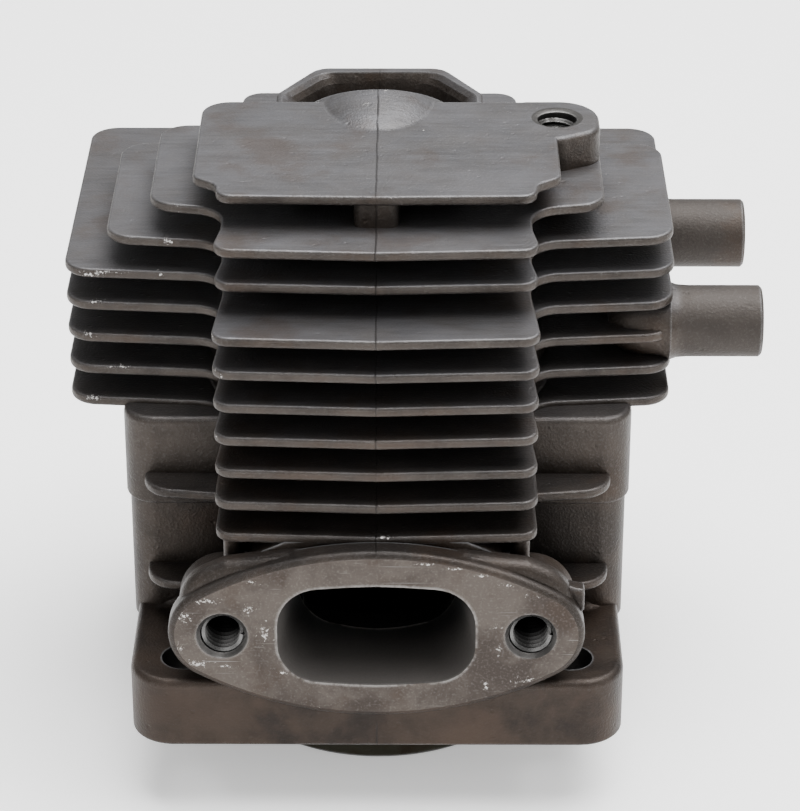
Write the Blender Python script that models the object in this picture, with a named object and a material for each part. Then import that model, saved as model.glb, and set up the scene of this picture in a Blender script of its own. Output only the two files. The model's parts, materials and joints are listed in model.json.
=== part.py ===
"""Air-cooled two-stroke engine cylinder, barrel and head in one aluminium die casting.

The bore axis is Z and the base face is at height 0 while the parts are made. The exhaust flange
faces -Y, the intake flange faces +Y and the two ignition coil posts point along +X. A parent
empty then carries everything so that the middle of the whole object's box is over the origin,
with the lower end of the liner on the ground.
"""

import math

import bmesh
import bpy
from mathutils import Matrix, Vector

MM = 0.001

# Liner and bore
BORE_RADIUS = 20.0 * MM
LINER_RADIUS = 23.0 * MM
LINER_TOP = 52.0 * MM
SKIRT_LENGTH = 10.7 * MM
LINER_SEAT = 1.15 * MM
FIT_GAP = 0.3 * MM
DOME_HEIGHT = 8.0 * MM
SKIRT_CHAMFER = 0.6 * MM
BORE_STEPS = 48

# Base flange
BASE_HALF_X = 34.2 * MM
BASE_HALF_Y = 35.5 * MM
BASE_THICK = 10.4 * MM
BASE_CORNER = 6.0 * MM
BOLT_X = 26.8 * MM
BOLT_Y = 29.1 * MM
BOLT_HOLE_RADIUS = 3.1 * MM

# Barrel, transfer passages and head core
CORE_RADIUS = 26.0 * MM
CORE_TOP = 56.0 * MM
TRANSFER_HALF_X = 34.9 * MM
TRANSFER_HALF_Y = 15.6 * MM
TRANSFER_TOP = 41.0 * MM
TRANSFER_BULGE = 0.5 * MM
TRANSFER_BULGE_FOOT = 27.4 * MM
TRANSFER_CORNER = 4.0 * MM
PASSAGE_X = (21.5 * MM, 31.5 * MM)
PASSAGE_HALF_Y = 8.0 * MM
PASSAGE_TOP = 22.0 * MM
LEDGE_FRONT = 20.5 * MM
LEDGE_HALF_X = 32.4 * MM
LEDGE_SLANT = 2.0 * MM
LEDGE_FEET = (16.2 * MM, 31.0 * MM)

# Cooling fins, numbered from the top
FIN_PITCH = 4.93 * MM
FIN_THICK = 1.4 * MM
FIN_COUNT = 10
LOWEST_FIN = 30.45 * MM
BLOCK_HALF_X = 21.85 * MM
BLOCK_FRONT = -33.0 * MM
BLOCK_DRAFT = 1.1 * MM
HEAD_FRONT = -26.7 * MM
NECK_Y = -19.0 * MM
NECK_HALF_X = 20.8 * MM
WING_FRONT_INNER = -12.6 * MM
WING_FRONT_OUTER = -10.8 * MM
WING_LEFT = -43.0 * MM
WING_RIGHT = 40.8 * MM
WING_BACK = 38.2 * MM
REAR_HALF_X = 19.8 * MM

# Top plate, screw boss and spark plug boss
PLATE_FRONT = -19.85 * MM
PLATE_BACK = 12.8 * MM
PLATE_HALF_X = 24.7 * MM
COVER_BOSS = (24.9 * MM, 6.9 * MM)
COVER_BOSS_RADIUS = 5.9 * MM
COVER_HOLE_RADIUS = 2.7 * MM
COVER_HOLE_DEPTH = 12.0 * MM
PLUG_SEAT = Vector((0.0, 18.5 * MM, 71.6 * MM))
PLUG_TILT = math.radians(45.0)
PLUG_BOSS_RADIUS = 10.2 * MM
PLUG_HOLE_RADIUS = 6.4 * MM
PLUG_BOSS_LENGTH = 20.0 * MM
PLUG_HOLE_LENGTH = 23.0 * MM
PLUG_POCKET_RADIUS = 12.5 * MM
PLUG_POCKET_SHIFT = -2.6 * MM

# Exhaust flange
EXHAUST_FACE = -36.0 * MM
FLANGE_HOLE_X = 21.0 * MM
FLANGE_Z = 18.1 * MM
FLANGE_HALF_HEIGHT = 13.1 * MM
FLANGE_END_RADIUS = 7.4 * MM
PORT_HALF_X = 13.65 * MM
PORT_HALF_Z = 8.1 * MM
PORT_ARCH = 1.0 * MM
PORT_ARCH_RADIUS = 50.0 * MM
PORT_CORNER = 6.0 * MM
PORT_TAPER = 0.8
THREAD_RADIUS = 3.2 * MM
THREAD_DEPTH = 9.0 * MM
INSERT_LENGTH = 7.5 * MM
INSERT_WALL = 0.45 * MM

# Intake flange
INTAKE_FACE = 39.0 * MM
INTAKE_HOLE_X = 18.0 * MM
INTAKE_Z = 18.0 * MM
INTAKE_HALF_HEIGHT = 13.0 * MM
INTAKE_PORT_RADIUS = 9.5 * MM

# Ignition coil posts
POST_RADIUS = 5.0 * MM
POST_ROOT = 38.5 * MM
POST_END = 53.4 * MM
POST_Z = 50.7 * MM
POST_YS = (-5.0 * MM, 24.0 * MM)

SMALL_HOLE_RADIUS = 2.1 * MM
SMALL_HOLE_DEPTH = 12.0 * MM
CHAMFER = 0.5 * MM
ROUND_STEPS = 24
ARC_STEP = math.radians(20.0)

# Where the bore axis at the base face stands in the finished frame
PLACE = Vector((
    -(WING_LEFT + POST_END) / 2,
    -(EXHAUST_FACE + INTAKE_FACE) / 2,
    SKIRT_LENGTH,
))


def clear_scene():
    for item in list(bpy.data.objects):
        bpy.data.objects.remove(item)


def material(name, color, roughness, metallic):
    made = bpy.data.materials.new(name)
    made.use_nodes = True
    shader = made.node_tree.nodes["Principled BSDF"]
    shader.inputs["Base Color"].default_value = (*color, 1.0)
    shader.inputs["Roughness"].default_value = roughness
    shader.inputs["Metallic"].default_value = metallic
    return made


def rounded(corners):
    """Outline through corners (x, y, radius), each turned into an arc that touches both sides."""
    points = []
    for index, (x, y, radius) in enumerate(corners):
        here = Vector((x, y))
        back = (Vector(corners[index - 1][:2]) - here).normalized()
        ahead = (Vector(corners[(index + 1) % len(corners)][:2]) - here).normalized()
        if not radius:
            points.append(here)
            continue
        half = back.angle(ahead) / 2
        centre = here + (back + ahead).normalized() * radius / math.sin(half)
        first = here + back * radius / math.tan(half) - centre
        turn = math.pi - 2 * half
        if back.cross(ahead) > 0:
            turn = -turn
        steps = max(2, math.ceil(abs(turn) / ARC_STEP))
        for step in range(steps + 1):
            points.append(centre + Matrix.Rotation(turn * step / steps, 2) @ first)
    return points


def mirrored_x(corners):
    """Corners of the right half, front to back, completed by the same corners on the left."""
    return corners + [(-x, y, radius) for x, y, radius in reversed(corners)]


def circle(radius, centre=(0.0, 0.0), steps=ROUND_STEPS):
    turns = [2 * math.pi * (step + 0.5) / steps for step in range(steps)]
    return [Vector((centre[0] + radius * math.cos(a), centre[1] + radius * math.sin(a))) for a in turns]


def lens(half_height, hole_x, end_radius, centre_z):
    """Flange outline: two round ends joined above and below by wide arcs that touch them."""
    rise = half_height - end_radius
    arc_radius = (hole_x**2 + rise**2) / (2 * rise) + end_radius
    arc_centre = half_height - arc_radius
    tangent = math.atan2(hole_x, -arc_centre)
    points = []
    wide_steps = 10
    for side in (1, -1):
        for step in range(wide_steps):
            angle = tangent * (1 - 2 * step / wide_steps)
            points.append((side * arc_radius * math.sin(angle), side * (arc_centre + arc_radius * math.cos(angle))))
        end_turn = math.pi - 2 * tangent
        end_steps = 8
        for step in range(end_steps):
            angle = -tangent - end_turn * step / end_steps
            points.append((side * (-hole_x + end_radius * math.sin(angle)), side * end_radius * math.cos(angle)))
    return [Vector((x, centre_z + z)) for x, z in points]


def finish_mesh(name, builder, owner, placement=None):
    if placement:
        bmesh.ops.transform(builder, matrix=placement, verts=builder.verts)
    bmesh.ops.remove_doubles(builder, verts=builder.verts, dist=1e-7)
    bmesh.ops.recalc_face_normals(builder, faces=builder.faces)
    mesh = bpy.data.meshes.new(name)
    builder.to_mesh(mesh)
    builder.free()
    made = bpy.data.objects.new(name, mesh)
    owner.objects.link(made)
    return made


def prism(name, owner, outline, low, high, placement=None, far_scale=1.0):
    """Solid of an outline in the XY plane, run from height low to high, where it may be smaller."""
    builder = bmesh.new()
    face = builder.faces.new([builder.verts.new((p.x, p.y, low)) for p in outline])
    grown = bmesh.ops.extrude_face_region(builder, geom=[face])["geom"]
    top = [v for v in grown if isinstance(v, bmesh.types.BMVert)]
    bmesh.ops.translate(builder, vec=(0, 0, high - low), verts=top)
    middle = sum((v.co for v in top), Vector()) / len(top)
    shrink = Matrix.Translation(middle) @ Matrix.Scale(far_scale, 4) @ Matrix.Translation(-middle)
    bmesh.ops.transform(builder, matrix=shrink, verts=top)
    return finish_mesh(name, builder, owner, placement)


def turned(name, owner, profile, steps=BORE_STEPS, placement=None):
    """Solid turned about Z from a closed profile of (radius, height) points."""
    builder = bmesh.new()
    verts = [builder.verts.new((r, 0, z)) for r, z in profile]
    pairs = zip(verts, verts[1:] + verts[:1])
    edges = [builder.edges.new(pair) for pair in pairs if pair[0].co.x or pair[1].co.x]
    bmesh.ops.spin(
        builder,
        geom=verts + edges,
        cent=(0, 0, 0),
        axis=(0, 0, 1),
        angle=2 * math.pi,
        steps=steps,
        use_merge=True,
    )
    return finish_mesh(name, builder, owner, placement)


ALONG_X = Matrix.Rotation(math.pi / 2, 4, "Y")
ALONG_Y = Matrix(((1, 0, 0, 0), (0, 0, 1, 0), (0, 1, 0, 0), (0, 0, 0, 1)))
INTO_PLUG = Matrix.Translation(PLUG_SEAT) @ Matrix.Rotation(-PLUG_TILT, 4, "X")


def fin_bottom(number):
    return LOWEST_FIN + FIN_PITCH * (FIN_COUNT - number)


def front_block(front):
    """Right half of a fin's front: a shallow V from the middle, a round corner and a narrow neck."""
    return [
        (0.0, front, 0.0),
        (BLOCK_HALF_X, front + BLOCK_DRAFT, 2.4 * MM),
        (NECK_HALF_X, NECK_Y, 0.0),
    ]


def wing(side_x, back, corner=4.0 * MM):
    """Right half of a fin behind its neck: out to the wing tip and back, for a positive side_x."""
    return [
        (NECK_HALF_X, WING_FRONT_INNER, 4.5 * MM),
        (side_x, WING_FRONT_OUTER, corner),
        (side_x, back, corner),
    ]


def fin_outline(front, left, right, wing_back, rear):
    """Whole outline of a fin. rear lists the right half's corners behind the wings."""
    right_half = front_block(front) + wing(right, wing_back) + rear
    left_half = front_block(front)[1:] + wing(-left, wing_back) + rear
    return rounded(right_half + [(-x, y, radius) for x, y, radius in reversed(left_half)])


def rear_block(wing_back, back):
    return [(REAR_HALF_X, wing_back, 3.0 * MM), (REAR_HALF_X, back, 3.0 * MM)]


def top_plate_outline():
    back_corner = (PLATE_HALF_X, PLATE_BACK, 2.0 * MM)
    side = [
        (18.6 * MM, PLATE_FRONT + 0.5 * MM, 2.5 * MM),
        (21.4 * MM, -15.8 * MM, 2.5 * MM),
        (PLATE_HALF_X, -12.6 * MM, 1.0 * MM),
    ]
    return rounded([(0.0, PLATE_FRONT, 0.0)] + mirrored_x(side + [back_corner]))


def tongue_outline():
    """Rear tongue of the second fin, around the back of the spark plug pocket."""
    return rounded(mirrored_x([
        (15.0 * MM, 20.0 * MM, 0.0),
        (15.0 * MM, 27.2 * MM, 1.0 * MM),
        (8.2 * MM, 36.7 * MM, 2.5 * MM),
    ]))


def make_fins(bodies):
    second_back = 16.0 * MM
    third_back = 21.0 * MM
    rear_edge = 28.0 * MM
    outlines = {
        1: top_plate_outline(),
        2: fin_outline(HEAD_FRONT, -30.9 * MM, 30.9 * MM, second_back, rear_block(second_back, rear_edge)),
        3: fin_outline(HEAD_FRONT, -37.0 * MM, 40.5 * MM, third_back, rear_block(third_back, 33.0 * MM)),
    }
    for number in range(4, 9):
        outlines[number] = fin_outline(BLOCK_FRONT, WING_LEFT, WING_RIGHT, WING_BACK, [])
    low_half = front_block(BLOCK_FRONT) + [
        (NECK_HALF_X, 20.0 * MM, 0.0),
        (REAR_HALF_X, 33.0 * MM, 3.0 * MM),
    ]
    for number in (9, 10):
        outlines[number] = rounded(mirrored_x(low_half[1:]) + low_half[:1])
    for number, outline in outlines.items():
        foot = fin_bottom(number)
        prism(f"fin_{number}", bodies, outline, foot, foot + FIN_THICK)


def make_head(bodies):
    """Screw boss, rib under the top plate, spark plug boss and the wall of its pocket."""
    top = fin_bottom(1) + FIN_THICK
    inside = 0.4 * MM
    lug = rounded([
        (20.0 * MM, -0.6 * MM, 0.0),
        (25.6 * MM, -0.2 * MM, 2.5 * MM),
        (30.8 * MM, 2.6 * MM, 3.0 * MM),
        (30.8 * MM, 13.3 * MM, 5.0 * MM),
        (20.0 * MM, 13.2 * MM, 0.0),
    ])
    prism("cover_lug", bodies, lug, fin_bottom(2) + inside, top + 0.05 * MM)
    column = circle(COVER_BOSS_RADIUS - 0.3 * MM, COVER_BOSS)
    prism("cover_column", bodies, column, 58.0 * MM, top - inside)
    rib = rounded([
        (2.9 * MM, -19.0 * MM, 1.0 * MM),
        (4.0 * MM, 0.0, 0.0),
        (-4.0 * MM, 0.0, 0.0),
        (-2.9 * MM, -19.0 * MM, 1.0 * MM),
    ])
    prism("top_rib", bodies, rib, 68.0 * MM, top - inside)
    prism("plug_boss", bodies, circle(PLUG_BOSS_RADIUS), -PLUG_BOSS_LENGTH, 0.0, INTO_PLUG)
    prism("pocket_wall", bodies, tongue_outline(), 57.0 * MM, fin_bottom(2) + FIN_THICK + 0.05 * MM)


def make_base_and_transfers(bodies):
    base = rounded(mirrored_x([
        (BASE_HALF_X, -BASE_HALF_Y, BASE_CORNER),
        (BASE_HALF_X, BASE_HALF_Y, BASE_CORNER),
    ]))
    prism("base_flange", bodies, base, 0.0, BASE_THICK)
    for side in (-1, 1):
        for label, grow, foot, top in (
            ("casing", 0.0, 8.0 * MM, TRANSFER_TOP - 1.0 * MM),
            ("bulge", TRANSFER_BULGE, TRANSFER_BULGE_FOOT, TRANSFER_TOP),
        ):
            half_x, half_y = TRANSFER_HALF_X + grow, TRANSFER_HALF_Y + grow
            outline = rounded([
                (side * 12.0 * MM, -half_y, 0.0),
                (side * half_x, -half_y, TRANSFER_CORNER),
                (side * half_x, half_y, TRANSFER_CORNER),
                (side * 12.0 * MM, half_y, 0.0),
            ])
            prism(f"transfer_{label}_{side}", bodies, outline, foot, top)
        for foot in LEDGE_FEET:
            ledge = rounded([
                (side * 18.0 * MM, -LEDGE_FRONT - LEDGE_SLANT, 0.0),
                (side * LEDGE_HALF_X, -LEDGE_FRONT, 4.5 * MM),
                (side * LEDGE_HALF_X, LEDGE_FRONT, 4.5 * MM),
                (side * 18.0 * MM, LEDGE_FRONT + LEDGE_SLANT, 0.0),
            ])
            prism(f"ledge_{side}_{foot:.3f}", bodies, ledge, foot, foot + FIN_THICK)


def make_ports(bodies):
    shoulder = rounded(mirrored_x([
        (16.0 * MM, 6.0 * MM, 3.0 * MM),
        (27.7 * MM, 14.0 * MM, 5.0 * MM),
        (27.6 * MM, 25.0 * MM, 4.5 * MM),
        (22.0 * MM, 30.2 * MM, 2.0 * MM),
    ]))
    prism("exhaust_shoulder", bodies, shoulder, EXHAUST_FACE + 1.6 * MM, -31.6 * MM, ALONG_Y)
    face = lens(FLANGE_HALF_HEIGHT, FLANGE_HOLE_X, FLANGE_END_RADIUS, FLANGE_Z)
    prism("exhaust_face", bodies, face, EXHAUST_FACE, EXHAUST_FACE + 3.0 * MM, ALONG_Y)
    duct = rounded(mirrored_x([
        (17.5 * MM, 7.5 * MM, 4.0 * MM),
        (17.5 * MM, 28.5 * MM, 3.0 * MM),
        (12.4 * MM, LOWEST_FIN + 0.4 * MM, 0.0),
    ]))
    prism("exhaust_duct", bodies, duct, -32.5 * MM, -15.0 * MM, ALONG_Y)
    rear = lens(INTAKE_HALF_HEIGHT, INTAKE_HOLE_X, 6.5 * MM, INTAKE_Z)
    prism("intake_face", bodies, rear, 34.5 * MM, INTAKE_FACE, ALONG_Y)
    neck = rounded(mirrored_x([(13.0 * MM, 6.5 * MM, 5.0 * MM), (13.0 * MM, 29.5 * MM, 5.0 * MM)]))
    prism("intake_duct", bodies, neck, 15.0 * MM, 36.0 * MM, ALONG_Y)
    for side in (-1, 1):
        boss = circle(6.4 * MM, (side * FLANGE_HOLE_X, FLANGE_Z))
        prism(f"exhaust_boss_{side}", bodies, boss, -32.5 * MM, -25.5 * MM, ALONG_Y)
        column = rounded([
            (side * 18.6 * MM, -30.4 * MM, 1.0 * MM),
            (side * 20.9 * MM, -30.4 * MM, 1.0 * MM),
            (side * 20.4 * MM, -14.0 * MM, 0.0),
            (side * 18.6 * MM, -14.0 * MM, 0.0),
        ])
        prism(f"exhaust_column_{side}", bodies, column, 21.0 * MM, LOWEST_FIN + 0.5 * MM)
        boss = circle(5.4 * MM, (side * INTAKE_HOLE_X, INTAKE_Z))
        prism(f"intake_boss_{side}", bodies, boss, 26.0 * MM, 36.0 * MM, ALONG_Y)


def make_posts(bodies):
    for number, y in enumerate(POST_YS):
        at_post = Matrix.Translation((0, y, POST_Z)) @ ALONG_X
        prism(f"coil_post_{number}", bodies, circle(POST_RADIUS), POST_ROOT, POST_END, at_post)


def drilled(name, cutters, radius, depth, placement):
    """Blind round hole that goes down from the placement's XY plane, with a chamfered mouth."""
    rim = radius + CHAMFER
    above = 1.0 * MM
    profile = [(0, -depth), (radius, -depth), (radius, -CHAMFER), (rim, 0), (rim, above), (0, above)]
    turned(name, cutters, profile, ROUND_STEPS, placement)


def cut_bore(cutters):
    """Liner pocket and the domed roof of the combustion chamber."""
    seat = BORE_RADIUS + LINER_SEAT
    roof_radius = (BORE_RADIUS**2 + DOME_HEIGHT**2) / (2 * DOME_HEIGHT)
    roof_centre = LINER_TOP + DOME_HEIGHT - roof_radius
    edge = math.asin(BORE_RADIUS / roof_radius)
    roof_steps = 6
    roof = []
    for step in range(roof_steps + 1):
        angle = edge * (1 - step / roof_steps)
        roof.append((roof_radius * math.sin(angle), roof_centre + roof_radius * math.cos(angle)))
    roof[-1] = (0.0, roof[-1][1])
    pocket = LINER_RADIUS + FIT_GAP
    pocket_top = LINER_TOP + FIT_GAP
    profile = [(0.0, -2 * MM), (pocket, -2 * MM), (pocket, pocket_top), (seat, pocket_top)] + roof
    turned("bore_cutter", cutters, profile)


def cut_passages(cutters):
    """Transfer passages, open to the crankcase in the base face."""
    for side in (-1, 1):
        inner, outer = PASSAGE_X
        outline = rounded([
            (side * inner, -PASSAGE_HALF_Y, 0.0),
            (side * outer, -PASSAGE_HALF_Y, 3.0 * MM),
            (side * outer, PASSAGE_HALF_Y, 3.0 * MM),
            (side * inner, PASSAGE_HALF_Y, 0.0),
        ])
        prism(f"passage_cutter_{side}", cutters, outline, -2 * MM, PASSAGE_TOP)


def cut_ports(cutters):
    side_low = FLANGE_Z - PORT_HALF_Z + PORT_ARCH
    side_high = FLANGE_Z + PORT_HALF_Z - PORT_ARCH
    port = rounded([
        (0.0, FLANGE_Z - PORT_HALF_Z, PORT_ARCH_RADIUS),
        (PORT_HALF_X, side_low, PORT_CORNER),
        (PORT_HALF_X, side_high, PORT_CORNER),
        (0.0, FLANGE_Z + PORT_HALF_Z, PORT_ARCH_RADIUS),
        (-PORT_HALF_X, side_high, PORT_CORNER),
        (-PORT_HALF_X, side_low, PORT_CORNER),
    ])
    prism("exhaust_port_cutter", cutters, port, EXHAUST_FACE - 1 * MM, -18.0 * MM, ALONG_Y, PORT_TAPER)
    intake = circle(INTAKE_PORT_RADIUS, (0.0, INTAKE_Z))
    prism("intake_port_cutter", cutters, intake, 18.0 * MM, INTAKE_FACE + 1 * MM, ALONG_Y)


def cut_holes(cutters):
    for side_x in (-1, 1):
        for side_y in (-1, 1):
            hole = circle(BOLT_HOLE_RADIUS, (side_x * BOLT_X, side_y * BOLT_Y))
            prism(f"bolt_cutter_{side_x}_{side_y}", cutters, hole, -2 * MM, BASE_THICK + 1.5 * MM)
        facing_exhaust = Matrix.Rotation(math.pi / 2, 4, "X")
        facing_intake = Matrix.Rotation(-math.pi / 2, 4, "X")
        at_exhaust = Matrix.Translation((side_x * FLANGE_HOLE_X, EXHAUST_FACE, FLANGE_Z)) @ facing_exhaust
        at_intake = Matrix.Translation((side_x * INTAKE_HOLE_X, INTAKE_FACE, INTAKE_Z)) @ facing_intake
        drilled(f"exhaust_hole_cutter_{side_x}", cutters, THREAD_RADIUS, THREAD_DEPTH, at_exhaust)
        drilled(f"intake_hole_cutter_{side_x}", cutters, SMALL_HOLE_RADIUS, SMALL_HOLE_DEPTH, at_intake)
    for number, y in enumerate(POST_YS):
        at_post = Matrix.Translation((POST_END, y, POST_Z)) @ ALONG_X
        drilled(f"post_hole_cutter_{number}", cutters, SMALL_HOLE_RADIUS, SMALL_HOLE_DEPTH, at_post)
    top = fin_bottom(1) + FIN_THICK + 0.05 * MM
    at_cover = Matrix.Translation((*COVER_BOSS, top))
    drilled("cover_hole_cutter", cutters, COVER_HOLE_RADIUS, COVER_HOLE_DEPTH, at_cover)
    prism("plug_hole_cutter", cutters, circle(PLUG_HOLE_RADIUS), -PLUG_HOLE_LENGTH, 2 * MM, INTO_PLUG)
    shifted = Matrix.Translation((0, PLUG_POCKET_SHIFT, 0)) @ INTO_PLUG
    lift = -PLUG_POCKET_SHIFT * math.sin(PLUG_TILT)
    prism("plug_pocket_cutter", cutters, circle(PLUG_POCKET_RADIUS), lift, 40 * MM, shifted)


def make_casting(metal):
    """The die casting: every body joined to the barrel, then every hole and passage cut from it."""
    bodies = bpy.data.collections.new("casting_bodies")
    cutters = bpy.data.collections.new("casting_cutters")
    for group in (bodies, cutters):
        bpy.context.scene.collection.children.link(group)
    barrel = [
        (0.0, 5.0 * MM),
        (CORE_RADIUS, 5.0 * MM),
        (CORE_RADIUS, CORE_TOP),
        (20.0 * MM, 66.0 * MM),
        (12.0 * MM, 72.0 * MM),
        (10.0 * MM, fin_bottom(1) + 0.5 * MM),
        (0.0, fin_bottom(1) + 0.5 * MM),
    ]
    casting = turned("cylinder_casting", bpy.context.scene.collection, barrel)
    make_base_and_transfers(bodies)
    make_ports(bodies)
    make_fins(bodies)
    make_head(bodies)
    make_posts(bodies)
    cut_bore(cutters)
    cut_passages(cutters)
    cut_ports(cutters)
    cut_holes(cutters)
    for group, operation in ((bodies, "UNION"), (cutters, "DIFFERENCE")):
        boolean = casting.modifiers.new(operation.lower(), "BOOLEAN")
        boolean.operation = operation
        boolean.operand_type = "COLLECTION"
        boolean.collection = group
        boolean.solver = "EXACT"
        for helper in group.objects:
            helper.hide_render = True
            helper.display_type = "WIRE"
    casting.data.materials.append(metal)
    return casting, list(bodies.objects) + list(cutters.objects)


def window(name, cutters, half_width, low, high, angle, reach=6.0 * MM):
    """Rectangular window through the liner wall, centred at an angle round the bore axis."""
    outline = rounded([
        (BORE_RADIUS - reach, -half_width, 0.0),
        (LINER_RADIUS + reach, -half_width, 0.0),
        (LINER_RADIUS + reach, half_width, 0.0),
        (BORE_RADIUS - reach, half_width, 0.0),
    ])
    return prism(name, cutters, outline, low, high, Matrix.Rotation(angle, 4, "Z"))


def make_liner(metal):
    """Cast-in iron liner whose lower end sticks out of the base as the skirt, with its port windows."""
    cutters = bpy.data.collections.new("liner_cutters")
    bpy.context.scene.collection.children.link(cutters)
    profile = [
        (LINER_RADIUS, LINER_TOP),
        (LINER_RADIUS, SKIRT_CHAMFER - SKIRT_LENGTH),
        (LINER_RADIUS - SKIRT_CHAMFER, -SKIRT_LENGTH),
        (BORE_RADIUS, -SKIRT_LENGTH),
        (BORE_RADIUS, LINER_TOP),
    ]
    liner = turned("cylinder_liner", bpy.context.scene.collection, profile)
    quarter = math.pi / 2
    window("exhaust_window", cutters, 10.5 * MM, 12.0 * MM, 24.0 * MM, -quarter)
    window("intake_window", cutters, 8.5 * MM, 10.0 * MM, 23.0 * MM, quarter)
    for side in (0.0, math.pi):
        window("transfer_window", cutters, 6.5 * MM, 12.0 * MM, 21.5 * MM, side)
        window("skirt_notch", cutters, 7.5 * MM, -SKIRT_LENGTH - 1 * MM, 6.0 * MM, side)
    boolean = liner.modifiers.new("windows", "BOOLEAN")
    boolean.operation = "DIFFERENCE"
    boolean.operand_type = "COLLECTION"
    boolean.collection = cutters
    boolean.solver = "EXACT"
    for helper in cutters.objects:
        helper.hide_render = True
        helper.display_type = "WIRE"
    liner.data.materials.append(metal)
    return liner, list(cutters.objects)


def make_insert(name, side, metal):
    """Thread insert in one screw hole of the exhaust flange."""
    outer = THREAD_RADIUS - FIT_GAP
    inner = outer - INSERT_WALL
    profile = [(outer, 0), (outer, -INSERT_LENGTH), (inner, -INSERT_LENGTH), (inner, 0)]
    mouth = EXHAUST_FACE + CHAMFER + 0.2 * MM
    into_flange = Matrix.Rotation(math.pi / 2, 4, "X")
    placement = Matrix.Translation((side * FLANGE_HOLE_X, mouth, FLANGE_Z)) @ into_flange
    insert = turned(name, bpy.context.scene.collection, profile, ROUND_STEPS, placement)
    insert.data.materials.append(metal)
    return insert


def main():
    clear_scene()
    aluminium = material("aged_die_cast_aluminium", (0.17, 0.155, 0.145), 0.55, 0.7)
    iron = material("grey_iron", (0.20, 0.19, 0.17), 0.45, 0.9)
    steel = material("bright_steel", (0.55, 0.54, 0.52), 0.3, 1.0)
    casting, casting_helpers = make_casting(aluminium)
    liner, liner_helpers = make_liner(iron)
    inserts = [
        make_insert("exhaust_thread_insert_left", -1, steel),
        make_insert("exhaust_thread_insert_right", 1, steel),
    ]
    stand = bpy.data.objects.new("stand", None)
    stand.location = PLACE
    bpy.context.scene.collection.objects.link(stand)
    for item in [casting, liner, *inserts, *casting_helpers, *liner_helpers]:
        item.parent = stand
    for item in [casting, liner, *inserts]:
        item.data.shade_smooth()
        item.data.set_sharp_from_angle(angle=math.radians(35.0))


main()
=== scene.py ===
"""Looks of the air-cooled engine cylinder: its cast skin, machined faces, threads and wear."""

import json
import math

import bmesh
import bpy
from mathutils import Matrix, Vector

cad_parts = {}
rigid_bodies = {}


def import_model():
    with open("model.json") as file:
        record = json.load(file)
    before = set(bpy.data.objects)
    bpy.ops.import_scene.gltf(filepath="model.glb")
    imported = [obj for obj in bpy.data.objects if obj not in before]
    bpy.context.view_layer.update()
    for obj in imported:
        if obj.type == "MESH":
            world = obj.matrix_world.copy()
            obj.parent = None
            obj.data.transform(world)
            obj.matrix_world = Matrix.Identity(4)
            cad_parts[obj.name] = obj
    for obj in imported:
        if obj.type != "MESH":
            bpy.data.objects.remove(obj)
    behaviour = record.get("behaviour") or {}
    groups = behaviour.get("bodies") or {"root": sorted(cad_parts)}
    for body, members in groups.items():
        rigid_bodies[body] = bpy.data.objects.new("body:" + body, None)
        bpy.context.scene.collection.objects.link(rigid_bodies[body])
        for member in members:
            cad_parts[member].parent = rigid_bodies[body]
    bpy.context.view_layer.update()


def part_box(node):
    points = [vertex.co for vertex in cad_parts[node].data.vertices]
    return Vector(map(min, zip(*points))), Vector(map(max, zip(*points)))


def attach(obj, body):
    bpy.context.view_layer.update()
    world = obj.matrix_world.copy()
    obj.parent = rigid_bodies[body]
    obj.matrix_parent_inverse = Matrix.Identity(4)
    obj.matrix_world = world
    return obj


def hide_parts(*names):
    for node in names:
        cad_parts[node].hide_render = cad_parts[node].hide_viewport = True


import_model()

MM = 0.001

# The bore axis, at the height of the base face. Every piece is made round this point.
liner_low, liner_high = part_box("cylinder_liner")
casting_low, casting_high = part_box("cylinder_casting")
AXIS = Vector(((liner_low.x + liner_high.x) / 2, (liner_low.y + liner_high.y) / 2, casting_low.z))

# Driving sizes, taken from the frame where it holds them
LINER_RADIUS = (liner_high.x - liner_low.x) / 2
LINER_TOP = liner_high.z - AXIS.z
SKIRT_LENGTH = AXIS.z - liner_low.z
EXHAUST_FACE = casting_low.y - AXIS.y
INTAKE_FACE = casting_high.y - AXIS.y
POST_END = casting_high.x - AXIS.x
WING_LEFT = casting_low.x - AXIS.x
BORE_RADIUS = LINER_RADIUS - 3.0 * MM
DOME_HEIGHT = 8.0 * MM
BASE_HALF_X = 34.2 * MM
BASE_HALF_Y = 35.5 * MM
BASE_THICK = 10.4 * MM
BOLT = (26.8 * MM, 29.1 * MM)
CORE_RADIUS = 26.0 * MM
FIN_PITCH = 4.93 * MM
FIN_THICK = 1.4 * MM
FIN_COUNT = 10
LOWEST_FIN = 30.45 * MM
BLOCK_HALF_X = 21.85 * MM
BLOCK_FRONT = -33.0 * MM
HEAD_FRONT = -26.7 * MM
PLATE_FRONT = -19.85 * MM
WING_RIGHT = 40.8 * MM
WING_BACK = 38.2 * MM
REAR_HALF_X = 19.8 * MM
COVER_BOSS = Vector((24.9 * MM, 6.9 * MM))
PLUG_SEAT = Vector((0.0, 18.5 * MM, 71.6 * MM))
PLUG_TILT = math.radians(45.0)
FLANGE_HOLE_X = 21.0 * MM
FLANGE_Z = 18.1 * MM
INTAKE_HOLE_X = 18.0 * MM
INTAKE_Z = 18.0 * MM
POST_RADIUS = 5.0 * MM
POST_Z = 50.7 * MM
POST_YS = (-5.0 * MM, 24.0 * MM)
TOP = LOWEST_FIN + FIN_PITCH * (FIN_COUNT - 1) + FIN_THICK
WALL_TOP = TOP - FIN_PITCH + 0.5 * MM

ARC_STEP = math.radians(10.0)
ROUND_STEPS = 40


# Outlines


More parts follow.
